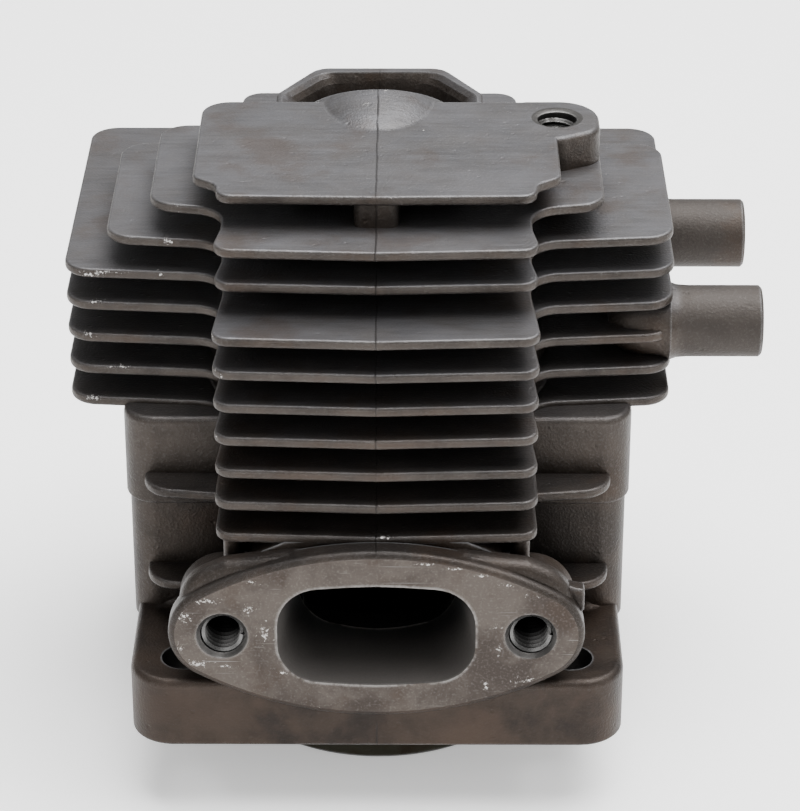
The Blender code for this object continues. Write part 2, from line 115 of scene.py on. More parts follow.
def rounded(corners):
    """Outline through corners (x, y, radius), each turned into an arc that touches both sides."""
    points = []
    for index, (x, y, radius) in enumerate(corners):
        here = Vector((x, y))
        back = (Vector(corners[index - 1][:2]) - here).normalized()
        ahead = (Vector(corners[(index + 1) % len(corners)][:2]) - here).normalized()
        if not radius:
            points.append(here)
            continue
        half = back.angle(ahead) / 2
        centre = here + (back + ahead).normalized() * radius / math.sin(half)
        first = here + back * radius / math.tan(half) - centre
        turn = math.pi - 2 * half
        if back.cross(ahead) > 0:
            turn = -turn
        steps = max(2, math.ceil(abs(turn) / ARC_STEP))
        for step in range(steps + 1):
            points.append(centre + Matrix.Rotation(turn * step / steps, 2) @ first)
    return points


def mirrored_x(corners):
    """Corners of the right half, front to back, completed by the same corners on the left."""
    return corners + [(-x, y, radius) for x, y, radius in reversed(corners)]


def in_mm(corners):
    return [(x * MM, y * MM, radius * MM) for x, y, radius in corners]


def rounded_mm(corners):
    return rounded(in_mm(corners))


def mirrored_mm(corners):
    return mirrored_x(in_mm(corners))


def box_corners(half_x, half_y, radius):
    return mirrored_x([(half_x, -half_y, radius), (half_x, half_y, radius)])


def round_outline(radius, centre=(0.0, 0.0), steps=ROUND_STEPS):
    turns = [2 * math.pi * (step + 0.5) / steps for step in range(steps)]
    return [Vector((centre[0] + radius * math.cos(a), centre[1] + radius * math.sin(a))) for a in turns]


def lens(half_height, hole_x, end_radius, centre_z):
    """Flange outline: two round ends joined above and below by wide arcs that touch them."""
    rise = half_height - end_radius
    arc_radius = (hole_x**2 + rise**2) / (2 * rise) + end_radius
    arc_centre = half_height - arc_radius
    tangent = math.atan2(hole_x, -arc_centre)
    wide_steps, end_steps = 28, 18
    points = []
    for side in (1, -1):
        for step in range(wide_steps):
            angle = tangent * (1 - 2 * step / wide_steps)
            height = arc_centre + arc_radius * math.cos(angle)
            points.append((side * arc_radius * math.sin(angle), side * height))
        for step in range(end_steps):
            angle = -tangent - (math.pi - 2 * tangent) * step / end_steps
            across = -hole_x + end_radius * math.sin(angle)
            points.append((side * across, side * end_radius * math.cos(angle)))
    return [Vector((x, centre_z + z)) for x, z in points]


# Solids


ALONG_X = Matrix.Rotation(math.pi / 2, 4, "Y")
ALONG_Y = Matrix(((1, 0, 0, 0), (0, 0, 1, 0), (0, 1, 0, 0), (0, 0, 0, 1)))
INTO_PLUG = Matrix.Translation(PLUG_SEAT) @ Matrix.Rotation(-PLUG_TILT, 4, "X")


def lifted(builder, face, height):
    """Extrudes a face straight up, and gives the new vertices."""
    grown = bmesh.ops.extrude_face_region(builder, geom=[face])["geom"]
    top = [v for v in grown if isinstance(v, bmesh.types.BMVert)]
    bmesh.ops.translate(builder, vec=(0, 0, height), verts=top)
    return top


def plate(outline, low, high, low_rim=0.0, high_rim=0.0, segments=3, far_scale=1.0):
    """Solid of an outline between two heights, with each end's rim rounded by its own radius."""
    builder = bmesh.new()
    face = builder.faces.new([builder.verts.new((p.x, p.y, low)) for p in outline])
    top = lifted(builder, face, high - low)
    middle = sum((v.co for v in top), Vector()) / len(top)
    shrink = Matrix.Translation(middle) @ Matrix.Scale(far_scale, 4) @ Matrix.Translation(-middle)
    bmesh.ops.transform(builder, matrix=shrink, verts=top)
    for height, rim in ((low, low_rim), (high, high_rim)):
        if rim:
            edges = [e for e in builder.edges if all(abs(v.co.z - height) < 1e-7 for v in e.verts)]
            bmesh.ops.bevel(
                builder,
                geom=edges,
                offset=rim,
                segments=segments,
                profile=0.5,
                affect="EDGES",
                material=-1,
            )
    return builder


def turned(profile, steps=96):
    """Solid turned about Z from a closed profile of (radius, height) points."""
    builder = bmesh.new()
    verts = [builder.verts.new((r, 0, z)) for r, z in profile]
    pairs = zip(verts, verts[1:] + verts[:1])
    edges = [builder.edges.new(pair) for pair in pairs if pair[0].co.x or pair[1].co.x]
    bmesh.ops.spin(
        builder,
        geom=verts + edges,
        cent=(0, 0, 0),
        axis=(0, 0, 1),
        angle=2 * math.pi,
        steps=steps,
        use_merge=True,
    )
    return builder


def coil(radius, wire, pitch, turns, low, steps=32, width=1.0):
    """Wire or thread ridge with a four-sided section, wound upwards about Z from height low."""
    builder = bmesh.new()
    corners = [
        builder.verts.new((radius + wire, 0, low)),
        builder.verts.new((radius, 0, low + wire * width)),
        builder.verts.new((radius - wire, 0, low)),
        builder.verts.new((radius, 0, low - wire * width)),
    ]
    section = builder.faces.new(corners)
    total = math.ceil(turns * steps)
    bmesh.ops.spin(
        builder,
        geom=[section, *section.edges, *corners],
        cent=(0, 0, 0),
        axis=(0, 0, 1),
        dvec=(0, 0, pitch / steps),
        angle=2 * math.pi * total / steps,
        steps=total,
    )
    open_ends = [e for e in builder.edges if e.is_boundary]
    bmesh.ops.holes_fill(builder, edges=open_ends, sides=4)
    return builder


def flared_foot(half_x, half_y, radius, low, reach, steps=4):
    """Fillet round the foot of an upright wall: a stack of insets along a quarter circle."""
    outline = rounded(box_corners(half_x + reach, half_y + reach, radius + reach))
    builder = bmesh.new()
    face = builder.faces.new([builder.verts.new((p.x, p.y, low)) for p in outline])
    lifted(builder, face, 0.5 * MM)
    bmesh.ops.recalc_face_normals(builder, faces=builder.faces)
    angles = [math.pi / 2 * step / steps for step in range(steps + 1)]
    for first, second in zip(angles, angles[1:]):
        top = max(builder.faces, key=lambda f: f.calc_center_median().z)
        bmesh.ops.inset_region(
            builder,
            faces=[top],
            thickness=reach * (math.sin(second) - math.sin(first)),
            depth=reach * (math.cos(first) - math.cos(second)),
            use_even_offset=True,
        )
    return builder


def body(name, builder, group, metal, placement=None, extra=()):
    """Object in a group from a builder. extra lists (material, chooser) for faces of another finish."""
    if placement:
        bmesh.ops.transform(builder, matrix=placement, verts=builder.verts)
    bmesh.ops.remove_doubles(builder, verts=builder.verts, dist=1e-7)
    bmesh.ops.recalc_face_normals(builder, faces=builder.faces)
    for number, (_, chooser) in enumerate(extra, start=1):
        for face in builder.faces:
            if chooser(face):
                face.material_index = number
    mesh = bpy.data.meshes.new(name)
    builder.to_mesh(mesh)
    builder.free()
    mesh.materials.append(metal)
    for other, _ in extra:
        mesh.materials.append(other)
    made = bpy.data.objects.new(name, mesh)
    group.objects.link(made)
    return made


def finished(piece, slot, *replaced, smooth_angle=35.0):
    """Puts a finished piece at its place in the frame, smooth shaded, riding on the body."""
    piece.data.transform(Matrix.Translation(AXIS))
    piece.data.shade_smooth()
    piece.data.set_sharp_from_angle(angle=math.radians(smooth_angle))
    flat_faces = piece.modifiers.new("flat_faces", "WEIGHTED_NORMAL")
    flat_faces.keep_sharp = True
    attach(piece, "root")
    if replaced:
        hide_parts(*replaced)
    return piece


def carved(base, *steps):
    """base after each (operation, group) Boolean in turn, as one plain mesh."""
    for operation, group in steps:
        boolean = base.modifiers.new(operation.lower(), "BOOLEAN")
        boolean.operation = operation
        boolean.operand_type = "COLLECTION"
        boolean.collection = group
        boolean.solver = "EXACT"
        boolean.material_mode = "TRANSFER"
    view = bpy.context.evaluated_depsgraph_get()
    mesh = bpy.data.meshes.new_from_object(base.evaluated_get(view), depsgraph=view)
    base.modifiers.clear()
    base.data = mesh
    for _, group in steps:
        for helper in list(group.objects):
            bpy.data.objects.remove(helper)
        bpy.data.collections.remove(group)
    return base


def new_group(name):
    group = bpy.data.collections.new(name)
    bpy.context.scene.collection.children.link(group)
    return group


# Shader tools


def node(tree, kind, label=None, **values):
    """Adds a node. values are its own settings; inputs are set with feed."""
    made = tree.nodes.new(kind)
    for key, value in values.items():
        setattr(made, key, value)
    if label:
        made.label = label
    return made


def feed(tree, made, **inputs):
    """Sets or links inputs by name, where an underscore stands for a space."""
    for key, value in inputs.items():
        name = key.replace("_", " ")
        socket = made.inputs[int(name[1:])] if name[0] == "i" and name[1:].isdigit() else made.inputs[name]
        if isinstance(value, bpy.types.NodeSocket):
            tree.links.new(value, socket)
        else:
            socket.default_value = value
    return made


def maths(tree, operation, first, second=None, third=None, clamp=False):
    made = node(tree, "ShaderNodeMath", operation=operation, use_clamp=clamp)
    for index, value in enumerate((first, second, third)):
        if value is not None:
            feed(tree, made, **{f"i{index}": value})
    return made.outputs[0]


def times(tree, first, second):
    return maths(tree, "MULTIPLY", first, second)


def sloped(tree, value, slope, start):
    """value times slope, plus start."""
    return maths(tree, "MULTIPLY_ADD", value, slope, start)


def blended(tree, factor, first, second, mode="MIX"):
    """Colour mix of first and second by a factor."""
    made = node(tree, "ShaderNodeMix", data_type="RGBA", blend_type=mode, clamp_factor=True)
    for index, value in ((0, factor), (6, first), (7, second)):
        feed(tree, made, **{f"i{index}": value})
    return made.outputs[2]


def tinted(tree, base, mask, amount, tint):
    """base with a tint laid over it, as far as mask times amount."""
    return blended(tree, times(tree, mask, amount), base, tint)


def split(tree, vector):
    return feed(tree, node(tree, "ShaderNodeSeparateXYZ"), i0=vector).outputs


def band(tree, value, low, high):
    """Smooth step of a value: 0 below low and 1 above high, or the other way round."""
    made = node(tree, "ShaderNodeMapRange", interpolation_type="SMOOTHSTEP")
    feed(tree, made, Value=value, From_Min=min(low, high), From_Max=max(low, high))
    if low > high:
        feed(tree, made, To_Min=1.0, To_Max=0.0)
    return made.outputs[0]


def behind_exhaust_face(tree, place, first, last):
    """0 up to the first distance behind the exhaust flange's face, rising to 1 at the last."""
    face = AXIS.y + EXHAUST_FACE
    return band(tree, split(tree, place)["Y"], face + first, face + last)


def noise(tree, vector, size, detail=4.0, roughness=0.55, distortion=0.0):
    """Noise whose blotches are about size across, in metres."""
    made = node(tree, "ShaderNodeTexNoise")
    feed(tree, made, Vector=vector, Scale=1.0 / size)
    feed(tree, made, Detail=detail, Roughness=roughness, Distortion=distortion)
    return made.outputs["Fac"]


def stretched(tree, vector, scale, turn=(0.0, 0.0, 0.0)):
    made = node(tree, "ShaderNodeMapping")
    feed(tree, made, Vector=vector, Scale=scale, Rotation=turn)
    return made.outputs[0]


def new_tool(name, inputs, outputs):
    """Empty node group. inputs and outputs are (name, socket type, default) and (name, socket type)."""
    tree = bpy.data.node_groups.new(name, "ShaderNodeTree")
    for label, kind, value in inputs:
        socket = tree.interface.new_socket(label, in_out="INPUT", socket_type=kind)
        socket.default_value = value
    for label, kind in outputs:
        tree.interface.new_socket(label, in_out="OUTPUT", socket_type=kind)
    return tree, tree.nodes.new("NodeGroupInput").outputs, tree.nodes.new("NodeGroupOutput").inputs


FLOAT = "NodeSocketFloat"
VECTOR = "NodeSocketVector"


def make_edge_wear_and_glint():
    """Where handling has rubbed an outer edge bright: a mask broken up by two sizes of noise. Edge is the
    whole rim band of outer edges, which the casting lightens as a painted highlight.
    """
    tree, given, out = new_tool(
        "edge_wear_and_glint",
        [("Vector", VECTOR, (0, 0, 0)), ("Width", FLOAT, 0.5 * MM), ("Break Up", FLOAT, 0.5)],
        [("Mask", FLOAT), ("Edge", FLOAT)],
    )
    inner = node(tree, "ShaderNodeAmbientOcclusion", samples=3, inside=True, only_local=True)
    feed(tree, inner, Distance=given["Width"])
    edge = band(tree, inner.outputs["AO"], 0.96, 0.62)
    coarse = noise(tree, given["Vector"], 6.0 * MM, 3.0)
    fine = noise(tree, given["Vector"], 0.7 * MM, 4.0)
    speckle = maths(tree, "ADD", times(tree, coarse, 0.6), times(tree, fine, 0.4))
    level = sloped(tree, given["Break Up"], 0.3, 0.32)
    worn = maths(tree, "MULTIPLY", maths(tree, "SUBTRACT", speckle, level), 7.0, clamp=True)
    tree.links.new(times(tree, edge, worn), out["Mask"])
    tree.links.new(edge, out["Edge"])
    return tree


def make_shade_depth():
    """How deep a point lies between other walls, from 0 in the open to 1 in a narrow gap; the materials
    darken by it as painted shade.
    """
    tree, given, out = new_tool("shade_depth", [("Reach", FLOAT, 9.0 * MM)], [("Depth", FLOAT)])
    outer = node(tree, "ShaderNodeAmbientOcclusion", samples=3, only_local=False)
    feed(tree, outer, Distance=given["Reach"])
    tree.links.new(maths(tree, "SUBTRACT", 1.0, outer.outputs["AO"], clamp=True), out["Depth"])
    return tree


def make_cast_skin():
    """Mottling and relief of an aged die casting: blotches, grain, flow marks and small pits."""
    tree, given, out = new_tool(
        "cast_skin",
        [("Vector", VECTOR, (0, 0, 0)), ("Grain", FLOAT, 0.35 * MM)],
        [("Blotch", FLOAT), ("Grain", FLOAT), ("Streak", FLOAT), ("Height", FLOAT)],
    )
    blotch = noise(tree, given["Vector"], 11.0 * MM, 6.0, 0.62, 0.4)
    grain_noise = node(tree, "ShaderNodeTexNoise")
    fineness = maths(tree, "DIVIDE", 1.0, given["Grain"])
    feed(tree, grain_noise, Vector=given["Vector"], Scale=fineness, Detail=3.0)
    grain = grain_noise.outputs["Fac"]
    brushed = stretched(tree, given["Vector"], (160.0, 1800.0, 1800.0), (0.0, 0.0, 0.03))
    streak = noise(tree, brushed, 1.0, 5.0, 0.6)
    pits = node(tree, "ShaderNodeTexVoronoi", feature="F1")
    feed(tree, pits, Vector=given["Vector"], Scale=1.0 / (2.6 * MM))
    pit = band(tree, pits.outputs["Distance"], 0.16, 0.05)
    raised = sloped(tree, grain, 0.35, times(tree, blotch, 0.45))
    raised = sloped(tree, streak, 0.1, raised)
    raised = sloped(tree, pit, -0.25, raised)
    for value, label in ((blotch, "Blotch"), (grain, "Grain"), (streak, "Streak"), (raised, "Height")):
        tree.links.new(value, out[label])
    return tree


def make_scratches():
    """Fine straight scratches in three directions across a face in the XZ plane."""
    tree, given, out = new_tool(
        "scratches",
        [("Vector", VECTOR, (0, 0, 0)), ("Amount", FLOAT, 0.5)],
        [("Mask", FLOAT)],
    )
    total = None
    strokes = ((38.0, 9.0, 0.22, 0.0), (-52.0, 6.0, 0.18, 3.1), (12.0, 14.0, 0.25, 7.7))
    for angle, along, across, seed in strokes:
        moved = node(tree, "ShaderNodeMapping")
        feed(
            tree,
            moved,
            Vector=given["Vector"],
            Location=(seed, seed, seed),
            Rotation=(0.0, math.radians(angle), 0.0),
            Scale=(1.0 / (along * MM), 1.0 / (40.0 * MM), 1.0 / (across * MM)),
        )
        line = node(tree, "ShaderNodeTexNoise")
        feed(tree, line, Vector=moved.outputs[0], Scale=1.0, Detail=1.0)
        cut = maths(tree, "SUBTRACT", 0.86, times(tree, given["Amount"], 0.16))
        mark = maths(tree, "MULTIPLY", maths(tree, "SUBTRACT", line.outputs["Fac"], cut), 18.0, clamp=True)
        total = mark if total is None else maths(tree, "MAXIMUM", total, mark)
    tree.links.new(total, out["Mask"])
    return tree


def make_chips(places, threshold):
    """Bare bright chips at named places on the edges, each an irregular patch (centre, reach)."""
    tree, given, out = new_tool("chips", [("Vector", VECTOR, (0, 0, 0))], [("Mask", FLOAT)])
    ragged = noise(tree, given["Vector"], 0.42 * MM, 5.0, 0.75)
    total = None
    for centre, reach in places:
        moved = node(tree, "ShaderNodeMapping", vector_type="TEXTURE")
        feed(tree, moved, Vector=given["Vector"])
        feed(tree, moved, Location=AXIS + Vector(centre) * MM, Scale=Vector(reach) * MM)
        length = node(tree, "ShaderNodeVectorMath", operation="LENGTH")
        feed(tree, length, i0=moved.outputs[0])
        near = maths(tree, "SUBTRACT", 1.0, length.outputs["Value"])
        total = near if total is None else maths(tree, "MAXIMUM", total, near)
    soft = sloped(tree, maths(tree, "SUBTRACT", ragged, 0.5), 6.0, total)
    hard = maths(tree, "MULTIPLY", maths(tree, "SUBTRACT", soft, threshold), 5.0, clamp=True)
    inside = maths(tree, "MULTIPLY", maths(tree, "ADD", total, 0.3), 5.0, clamp=True)
    tree.links.new(times(tree, hard, inside), out["Mask"])
    return tree


def make_parting_line():
    """Thin uneven flash line where the die halves met, in the plane X = 0 of the bore axis."""
    tree, given, out = new_tool(
        "parting_line",
        [("Vector", VECTOR, (0, 0, 0)), ("Width", FLOAT, 0.16 * MM)],
        [("Line", FLOAT)],
    )
    wander = noise(tree, given["Vector"], 3.0 * MM, 3.0)
    sway = times(tree, maths(tree, "SUBTRACT", wander, 0.5), 0.35 * MM)
    aside = maths(tree, "SUBTRACT", split(tree, given["Vector"])["X"], AXIS.x)
    across = maths(tree, "ABSOLUTE", maths(tree, "ADD", aside, sway))
    line = maths(tree, "SUBTRACT", 1.0, maths(tree, "DIVIDE", across, given["Width"]), clamp=True)
    uneven = band(tree, noise(tree, given["Vector"], 5.0 * MM, 2.0), 0.3, 0.5)
    tree.links.new(times(tree, line, uneven), out["Line"])
    return tree


# Chips: centre and reach in millimetres from the bore axis at the base face
CHIPS = [
    ((-36.6, -11.3, 61.1), (3.4, 1.2, 0.4)),
    ((-39.4, -11.2, 60.6), (2.4, 1.2, 0.6)),
    ((-29.8, -11.5, 61.0), (0.8, 0.9, 0.5)),
    ((-28.4, -11.9, 66.0), (1.1, 0.9, 0.6)),
    ((-33.6, -11.6, 66.2), (0.8, 0.8, 0.4)),
    ((-27.4, -12.2, 71.1), (1.6, 1.0, 0.4)),
    ((-26.6, -12.4, 70.2), (1.1, 1.0, 0.4)),
    ((-38.6, -11.0, 56.4), (1.9, 0.9, 0.3)),
    ((-40.0, -10.9, 51.3), (1.2, 0.9, 0.5)),
    ((-35.8, -11.1, 46.5), (2.8, 0.8, 0.28)),
    ((-39.6, -10.9, 41.4), (2.0, 0.9, 0.45)),
    ((-21.7, -31.0, 60.9), (0.7, 1.4, 0.8)),
    ((-21.4, -31.2, 56.2), (0.6, 1.0, 0.6)),
    ((-20.4, -32.0, 55.7), (0.8, 0.7, 0.5)),
    ((-21.3, -31.4, 46.2), (0.6, 0.8, 0.4)),
    ((-19.6, -26.6, 66.3), (1.2, 0.9, 0.4)),
    ((20.8, -26.0, 66.3), (0.8, 0.9, 0.4)),
    ((1.9, -19.8, 76.0), (0.6, 0.5, 0.5)),
    ((-3.4, 11.3, 78.6), (2.6, 0.7, 0.4)),
    ((2.8, 11.3, 78.6), (2.2, 0.7, 0.35)),
    ((-8.2, 8.0, 77.0), (0.6, 0.7, 0.5)),
    ((-1.6, 7.6, 78.2), (1.0, 0.9, 0.6)),
    ((6.2, 2.6, 76.5), (2.4, 0.5, 0.5)),
    ((1.0, -32.8, 31.8), (1.4, 0.6, 0.3)),
    ((30.6, -12.0, 70.6), (0.5, 0.9, 0.6)),
]
# Chips on the exhaust face: X, Z, and the reach along each
FLANGE_MARKS = [
    (-26.3, 21.0, 2.0, 1.6),
    (-22.6, 23.6, 3.4, 0.8),
    (-26.9, 16.2, 0.8, 1.8),
    (-17.4, 22.2, 1.4, 1.3),
    (-15.2, 18.4, 1.4, 2.4),
    (-20.8, 13.3, 2.0, 0.4),
    (-24.2, 13.6, 2.6, 1.0),
    (16.4, 19.6, 1.3, 0.7),
    (16.6, 16.0, 0.8, 1.6),
    (20.2, 11.0, 2.8, 1.1),
    (15.0, 10.2, 0.7, 1.5),
    (-12.6, 12.2, 1.2, 0.6),
    (6.4, 29.5, 2.4, 0.35),
    (10.4, 28.8, 2.4, 0.35),
    (14.2, 27.7, 2.2, 0.4),
    (17.8, 26.3, 2.0, 0.5),
    (21.2, 24.6, 1.8, 0.6),
    (-17.0, 26.6, 2.6, 0.4),
    (2.0, 5.6, 7.0, 0.35),
    (-9.0, 6.6, 4.0, 0.35),
]
FLANGE_CHIPS = [((x, -36.0, z), (reach_x, 1.0, reach_z)) for x, z, reach_x, reach_z in FLANGE_MARKS]


def new_metal(name, roughness, metallic):
    """Material with its Principled BSDF and the Object coordinates that its patterns read."""
    made = bpy.data.materials.new(name)
    made.use_nodes = True
    tree = made.node_tree
    shader = tree.nodes["Principled BSDF"]
    shader.inputs["Roughness"].default_value = roughness
    shader.inputs["Metallic"].default_value = metallic
    shader.inputs["Specular IOR Level"].default_value = 0.35
    place = node(tree, "ShaderNodeTexCoord").outputs["Object"]
    return made, tree, shader, place


def tool(tree, group, **inputs):
    made = node(tree, "ShaderNodeGroup", node_tree=group)
    feed(tree, made, **inputs)
    return made.outputs


def relief(tree, shader, height, distance):
    bump = node(tree, "ShaderNodeBump")
    feed(tree, bump, Height=height, Distance=distance, Strength=1.0)
    tree.links.new(bump.outputs[0], shader.inputs["Normal"])


def coat(tree, shader, colour, rough):
    tree.links.new(colour, shader.inputs["Base Color"])
    tree.links.new(rough, shader.inputs["Roughness"])


def make_aged_casting(tools):
    """Skin of the die casting: warm grey-brown, brushed on top, browner on the base; a painted sheen makes
    upward faces lighter and bluer, painted shade darkens recesses and a painted highlight runs along outer
    edges.
    """
    made, tree, shader, place = new_metal("aged_die_cast_aluminium", 0.5, 0.55)
    skin = tool(tree, tools["cast_skin"], Vector=place)
    wear_and_glint = tool(tree, tools["edge_wear_and_glint"], Vector=place, Width=0.32 * MM, Break_Up=0.45)
    depth = tool(tree, tools["shade_depth"], Reach=15.0 * MM)["Depth"]
    line = tool(tree, tools["parting_line"], Vector=place)["Line"]
    chips = tool(tree, tools["chips"], Vector=place)["Mask"]
    parts = split(tree, place)
    faces = split(tree, node(tree, "ShaderNodeNewGeometry").outputs["Normal"])
    outboard = band(tree, parts["X"], AXIS.x + 41.0 * MM, AXIS.x + 42.5 * MM)
    upward = band(tree, faces["Z"], 0.4, 0.95)
    upward = times(tree, upward, sloped(tree, outboard, -0.9, 1.0))
    high = band(tree, parts["Z"], AXIS.z + 40.0 * MM, AXIS.z + 70.0 * MM)
    middle = band(tree, parts["Z"], AXIS.z + 44.0 * MM, AXIS.z + 28.0 * MM)
    low = band(tree, parts["Z"], AXIS.z + 16.0 * MM, AXIS.z + 7.0 * MM)
    cloudy = band(tree, noise(tree, place, 5.0 * MM, 6.0, 0.65), 0.36, 0.64)
    drawn_out = stretched(tree, place, (0.6, 1.0, 1.0))
    patchy = band(tree, noise(tree, drawn_out, 9.0 * MM, 5.0, 0.6, 0.6), 0.38, 0.66)
    blotchy = band(tree, skin["Blotch"], 0.36, 0.64)
    colour = blended(tree, blotchy, (0.019, 0.0145, 0.0115, 1), (0.043, 0.035, 0.0295, 1))
    colour = tinted(tree, colour, cloudy, 0.45, (0.060, 0.050, 0.043, 1))
    colour = tinted(tree, colour, outboard, 0.6, (0.042, 0.036, 0.032, 1))
    brushed = band(tree, skin["Streak"], 0.2, 0.8)
    # Painted sheen: upward faces, more so higher up and less on the coil posts, get a lighter bluish colour
    # that stands in for overhead light; the brushed streaks in it are real marks.
    brushed_top_sheen = blended(tree, brushed, (0.054, 0.053, 0.056, 1), (0.098, 0.098, 0.104, 1))
    brushed_top_sheen = tinted(tree, brushed_top_sheen, cloudy, 0.4, (0.066, 0.060, 0.056, 1))
    brushed_top_sheen = tinted(tree, brushed_top_sheen, patchy, 0.45, (0.110, 0.110, 0.119, 1))
    colour = tinted(tree, colour, upward, sloped(tree, high, 0.45, 0.40), brushed_top_sheen)
    tan = blended(tree, patchy, (0.0100, 0.0068, 0.0048, 1), (0.031, 0.0222, 0.0162, 1))
    colour = tinted(tree, colour, middle, 0.7, tan)
    rust = blended(tree, blotchy, (0.0085, 0.0050, 0.0032, 1), (0.028, 0.0178, 0.0120, 1))
    rust = tinted(tree, rust, cloudy, 0.5, (0.037, 0.0245, 0.0168, 1))
    colour = tinted(tree, colour, low, 0.9, rust)
    brown = band(tree, noise(tree, place, 14.0 * MM, 5.0, 0.6), 0.50, 0.66)
    colour = tinted(tree, colour, brown, 0.45, (0.047, 0.030, 0.020, 1))
    pale = band(tree, skin["Grain"], 0.5, 0.75)
    above_base = sloped(tree, low, -0.16, 0.20)
    colour = tinted(tree, colour, pale, above_base, (0.115, 0.108, 0.102, 1))
    # Painted shade: recesses between fins and walls go nearly black by their depth, half as much on upward
    # faces.
    shade_spared_on_tops = sloped(tree, upward, -0.5, 1.0)
    painted_recess_shade = times(tree, band(tree, depth, 0.48, 1.0), shade_spared_on_tops)
    colour = tinted(tree, colour, painted_recess_shade, 0.96, (0.0018, 0.0014, 0.0012, 1))
    # Painted highlight: the whole rim band of outer edges is lightened bluish-white as a glint; the
    # broken-up Mask below is real wear.
    colour = tinted(tree, colour, wear_and_glint["Edge"], 0.55, (0.185, 0.188, 0.198, 1))
    colour = tinted(tree, colour, wear_and_glint["Mask"], 0.5, (0.26, 0.26, 0.262, 1))
    colour = tinted(tree, colour, line, 0.6, (0.012, 0.010, 0.009, 1))
    colour = blended(tree, chips, colour, (0.62, 0.60, 0.58, 1))
    rough = sloped(tree, skin["Blotch"], 0.22, 0.36)
    rough = sloped(tree, wear_and_glint["Edge"], -0.1, rough)
    coat(tree, shader, colour, sloped(tree, outboard, 0.15, rough))
    height = sloped(tree, line, 0.5, skin["Height"])
    height = sloped(tree, chips, -0.6, height)
    relief(tree, shader, height, 0.2 * MM)
    return made


def make_machined_face(tools):
    """Flange faces milled flat, since stained brown and scratched."""
    made, tree, shader, place = new_metal("stained_machined_face", 0.42, 0.7)
    skin = tool(tree, tools["cast_skin"], Vector=place)
    wear_and_glint = tool(tree, tools["edge_wear_and_glint"], Vector=place, Width=0.5 * MM, Break_Up=0.35)
    scratch = tool(tree, tools["scratches"], Vector=place, Amount=0.72)["Mask"]
    chips = tool(tree, tools["flange_chips"], Vector=place)["Mask"]
    blotchy = band(tree, skin["Blotch"], 0.38, 0.62)
    colour = blended(tree, blotchy, (0.032, 0.025, 0.021, 1), (0.070, 0.059, 0.051, 1))
    brown = band(tree, noise(tree, place, 9.0 * MM, 6.0, 0.65), 0.5, 0.66)
    colour = tinted(tree, colour, brown, 0.5, (0.036, 0.024, 0.017, 1))
    colour = tinted(tree, colour, band(tree, skin["Grain"], 0.5, 0.75), 0.3, (0.14, 0.13, 0.12, 1))
    colour = tinted(tree, colour, scratch, 0.6, (0.24, 0.23, 0.22, 1))
    colour = tinted(tree, colour, wear_and_glint["Mask"], 0.6, (0.30, 0.29, 0.28, 1))
    colour = tinted(tree, colour, chips, 0.85, (0.52, 0.50, 0.48, 1))
    coat(tree, shader, colour, sloped(tree, skin["Blotch"], 0.25, 0.30))
    height = sloped(tree, scratch, -0.5, times(tree, skin["Grain"], 0.25))
    relief(tree, shader, height, 0.05 * MM)
    return made


def make_bored_metal(tools):
    """Drilled holes, threads and milled recesses: darker and smoother than the skin, with painted shade
    that turns them black deep inside.
    """
    made, tree, shader, place = new_metal("dull_bored_aluminium", 0.4, 0.8)
    skin = tool(tree, tools["cast_skin"], Vector=place, Grain=0.2 * MM)
    wear_and_glint = tool(tree, tools["edge_wear_and_glint"], Vector=place, Width=0.35 * MM, Break_Up=0.3)
    depth = tool(tree, tools["shade_depth"], Reach=5.0 * MM)["Depth"]
    colour = blended(tree, skin["Blotch"], (0.034, 0.031, 0.029, 1), (0.085, 0.082, 0.079, 1))
    # Painted shade: deep inside holes and threads the colour goes black.
    colour = tinted(tree, colour, depth, 1.4, (0.0015, 0.0012, 0.001, 1))
    colour = tinted(tree, colour, wear_and_glint["Mask"], 0.6, (0.26, 0.255, 0.25, 1))
    coat(tree, shader, colour, sloped(tree, skin["Grain"], 0.2, 0.3))
    relief(tree, shader, skin["Grain"], 0.03 * MM)
    return made


def make_sooty_shaded_port(tools):
    """Walls of the exhaust port, under a smooth coat of dry soot, with painted shade that turns them black
    deeper behind the face.
    """
    made, tree, shader, place = new_metal("sooty_shaded_port_wall", 0.75, 0.2)
    skin = tool(tree, tools["cast_skin"], Vector=place)
    wear_and_glint = tool(tree, tools["edge_wear_and_glint"], Vector=place, Width=0.5 * MM, Break_Up=0.3)
    inward = behind_exhaust_face(tree, place, 3.5 * MM, 13.5 * MM)
    colour = blended(tree, skin["Blotch"], (0.046, 0.042, 0.039, 1), (0.078, 0.071, 0.066, 1))
    # Painted shade: the port walls go black from 3.5 mm to 13.5 mm behind the face.
    colour = tinted(tree, colour, inward, 0.985, (0.001, 0.001, 0.001, 1))
    colour = tinted(tree, colour, wear_and_glint["Mask"], 0.5, (0.20, 0.19, 0.18, 1))
    coat(tree, shader, colour, sloped(tree, skin["Grain"], 0.2, 0.6))
    relief(tree, shader, skin["Height"], 0.06 * MM)
    return made


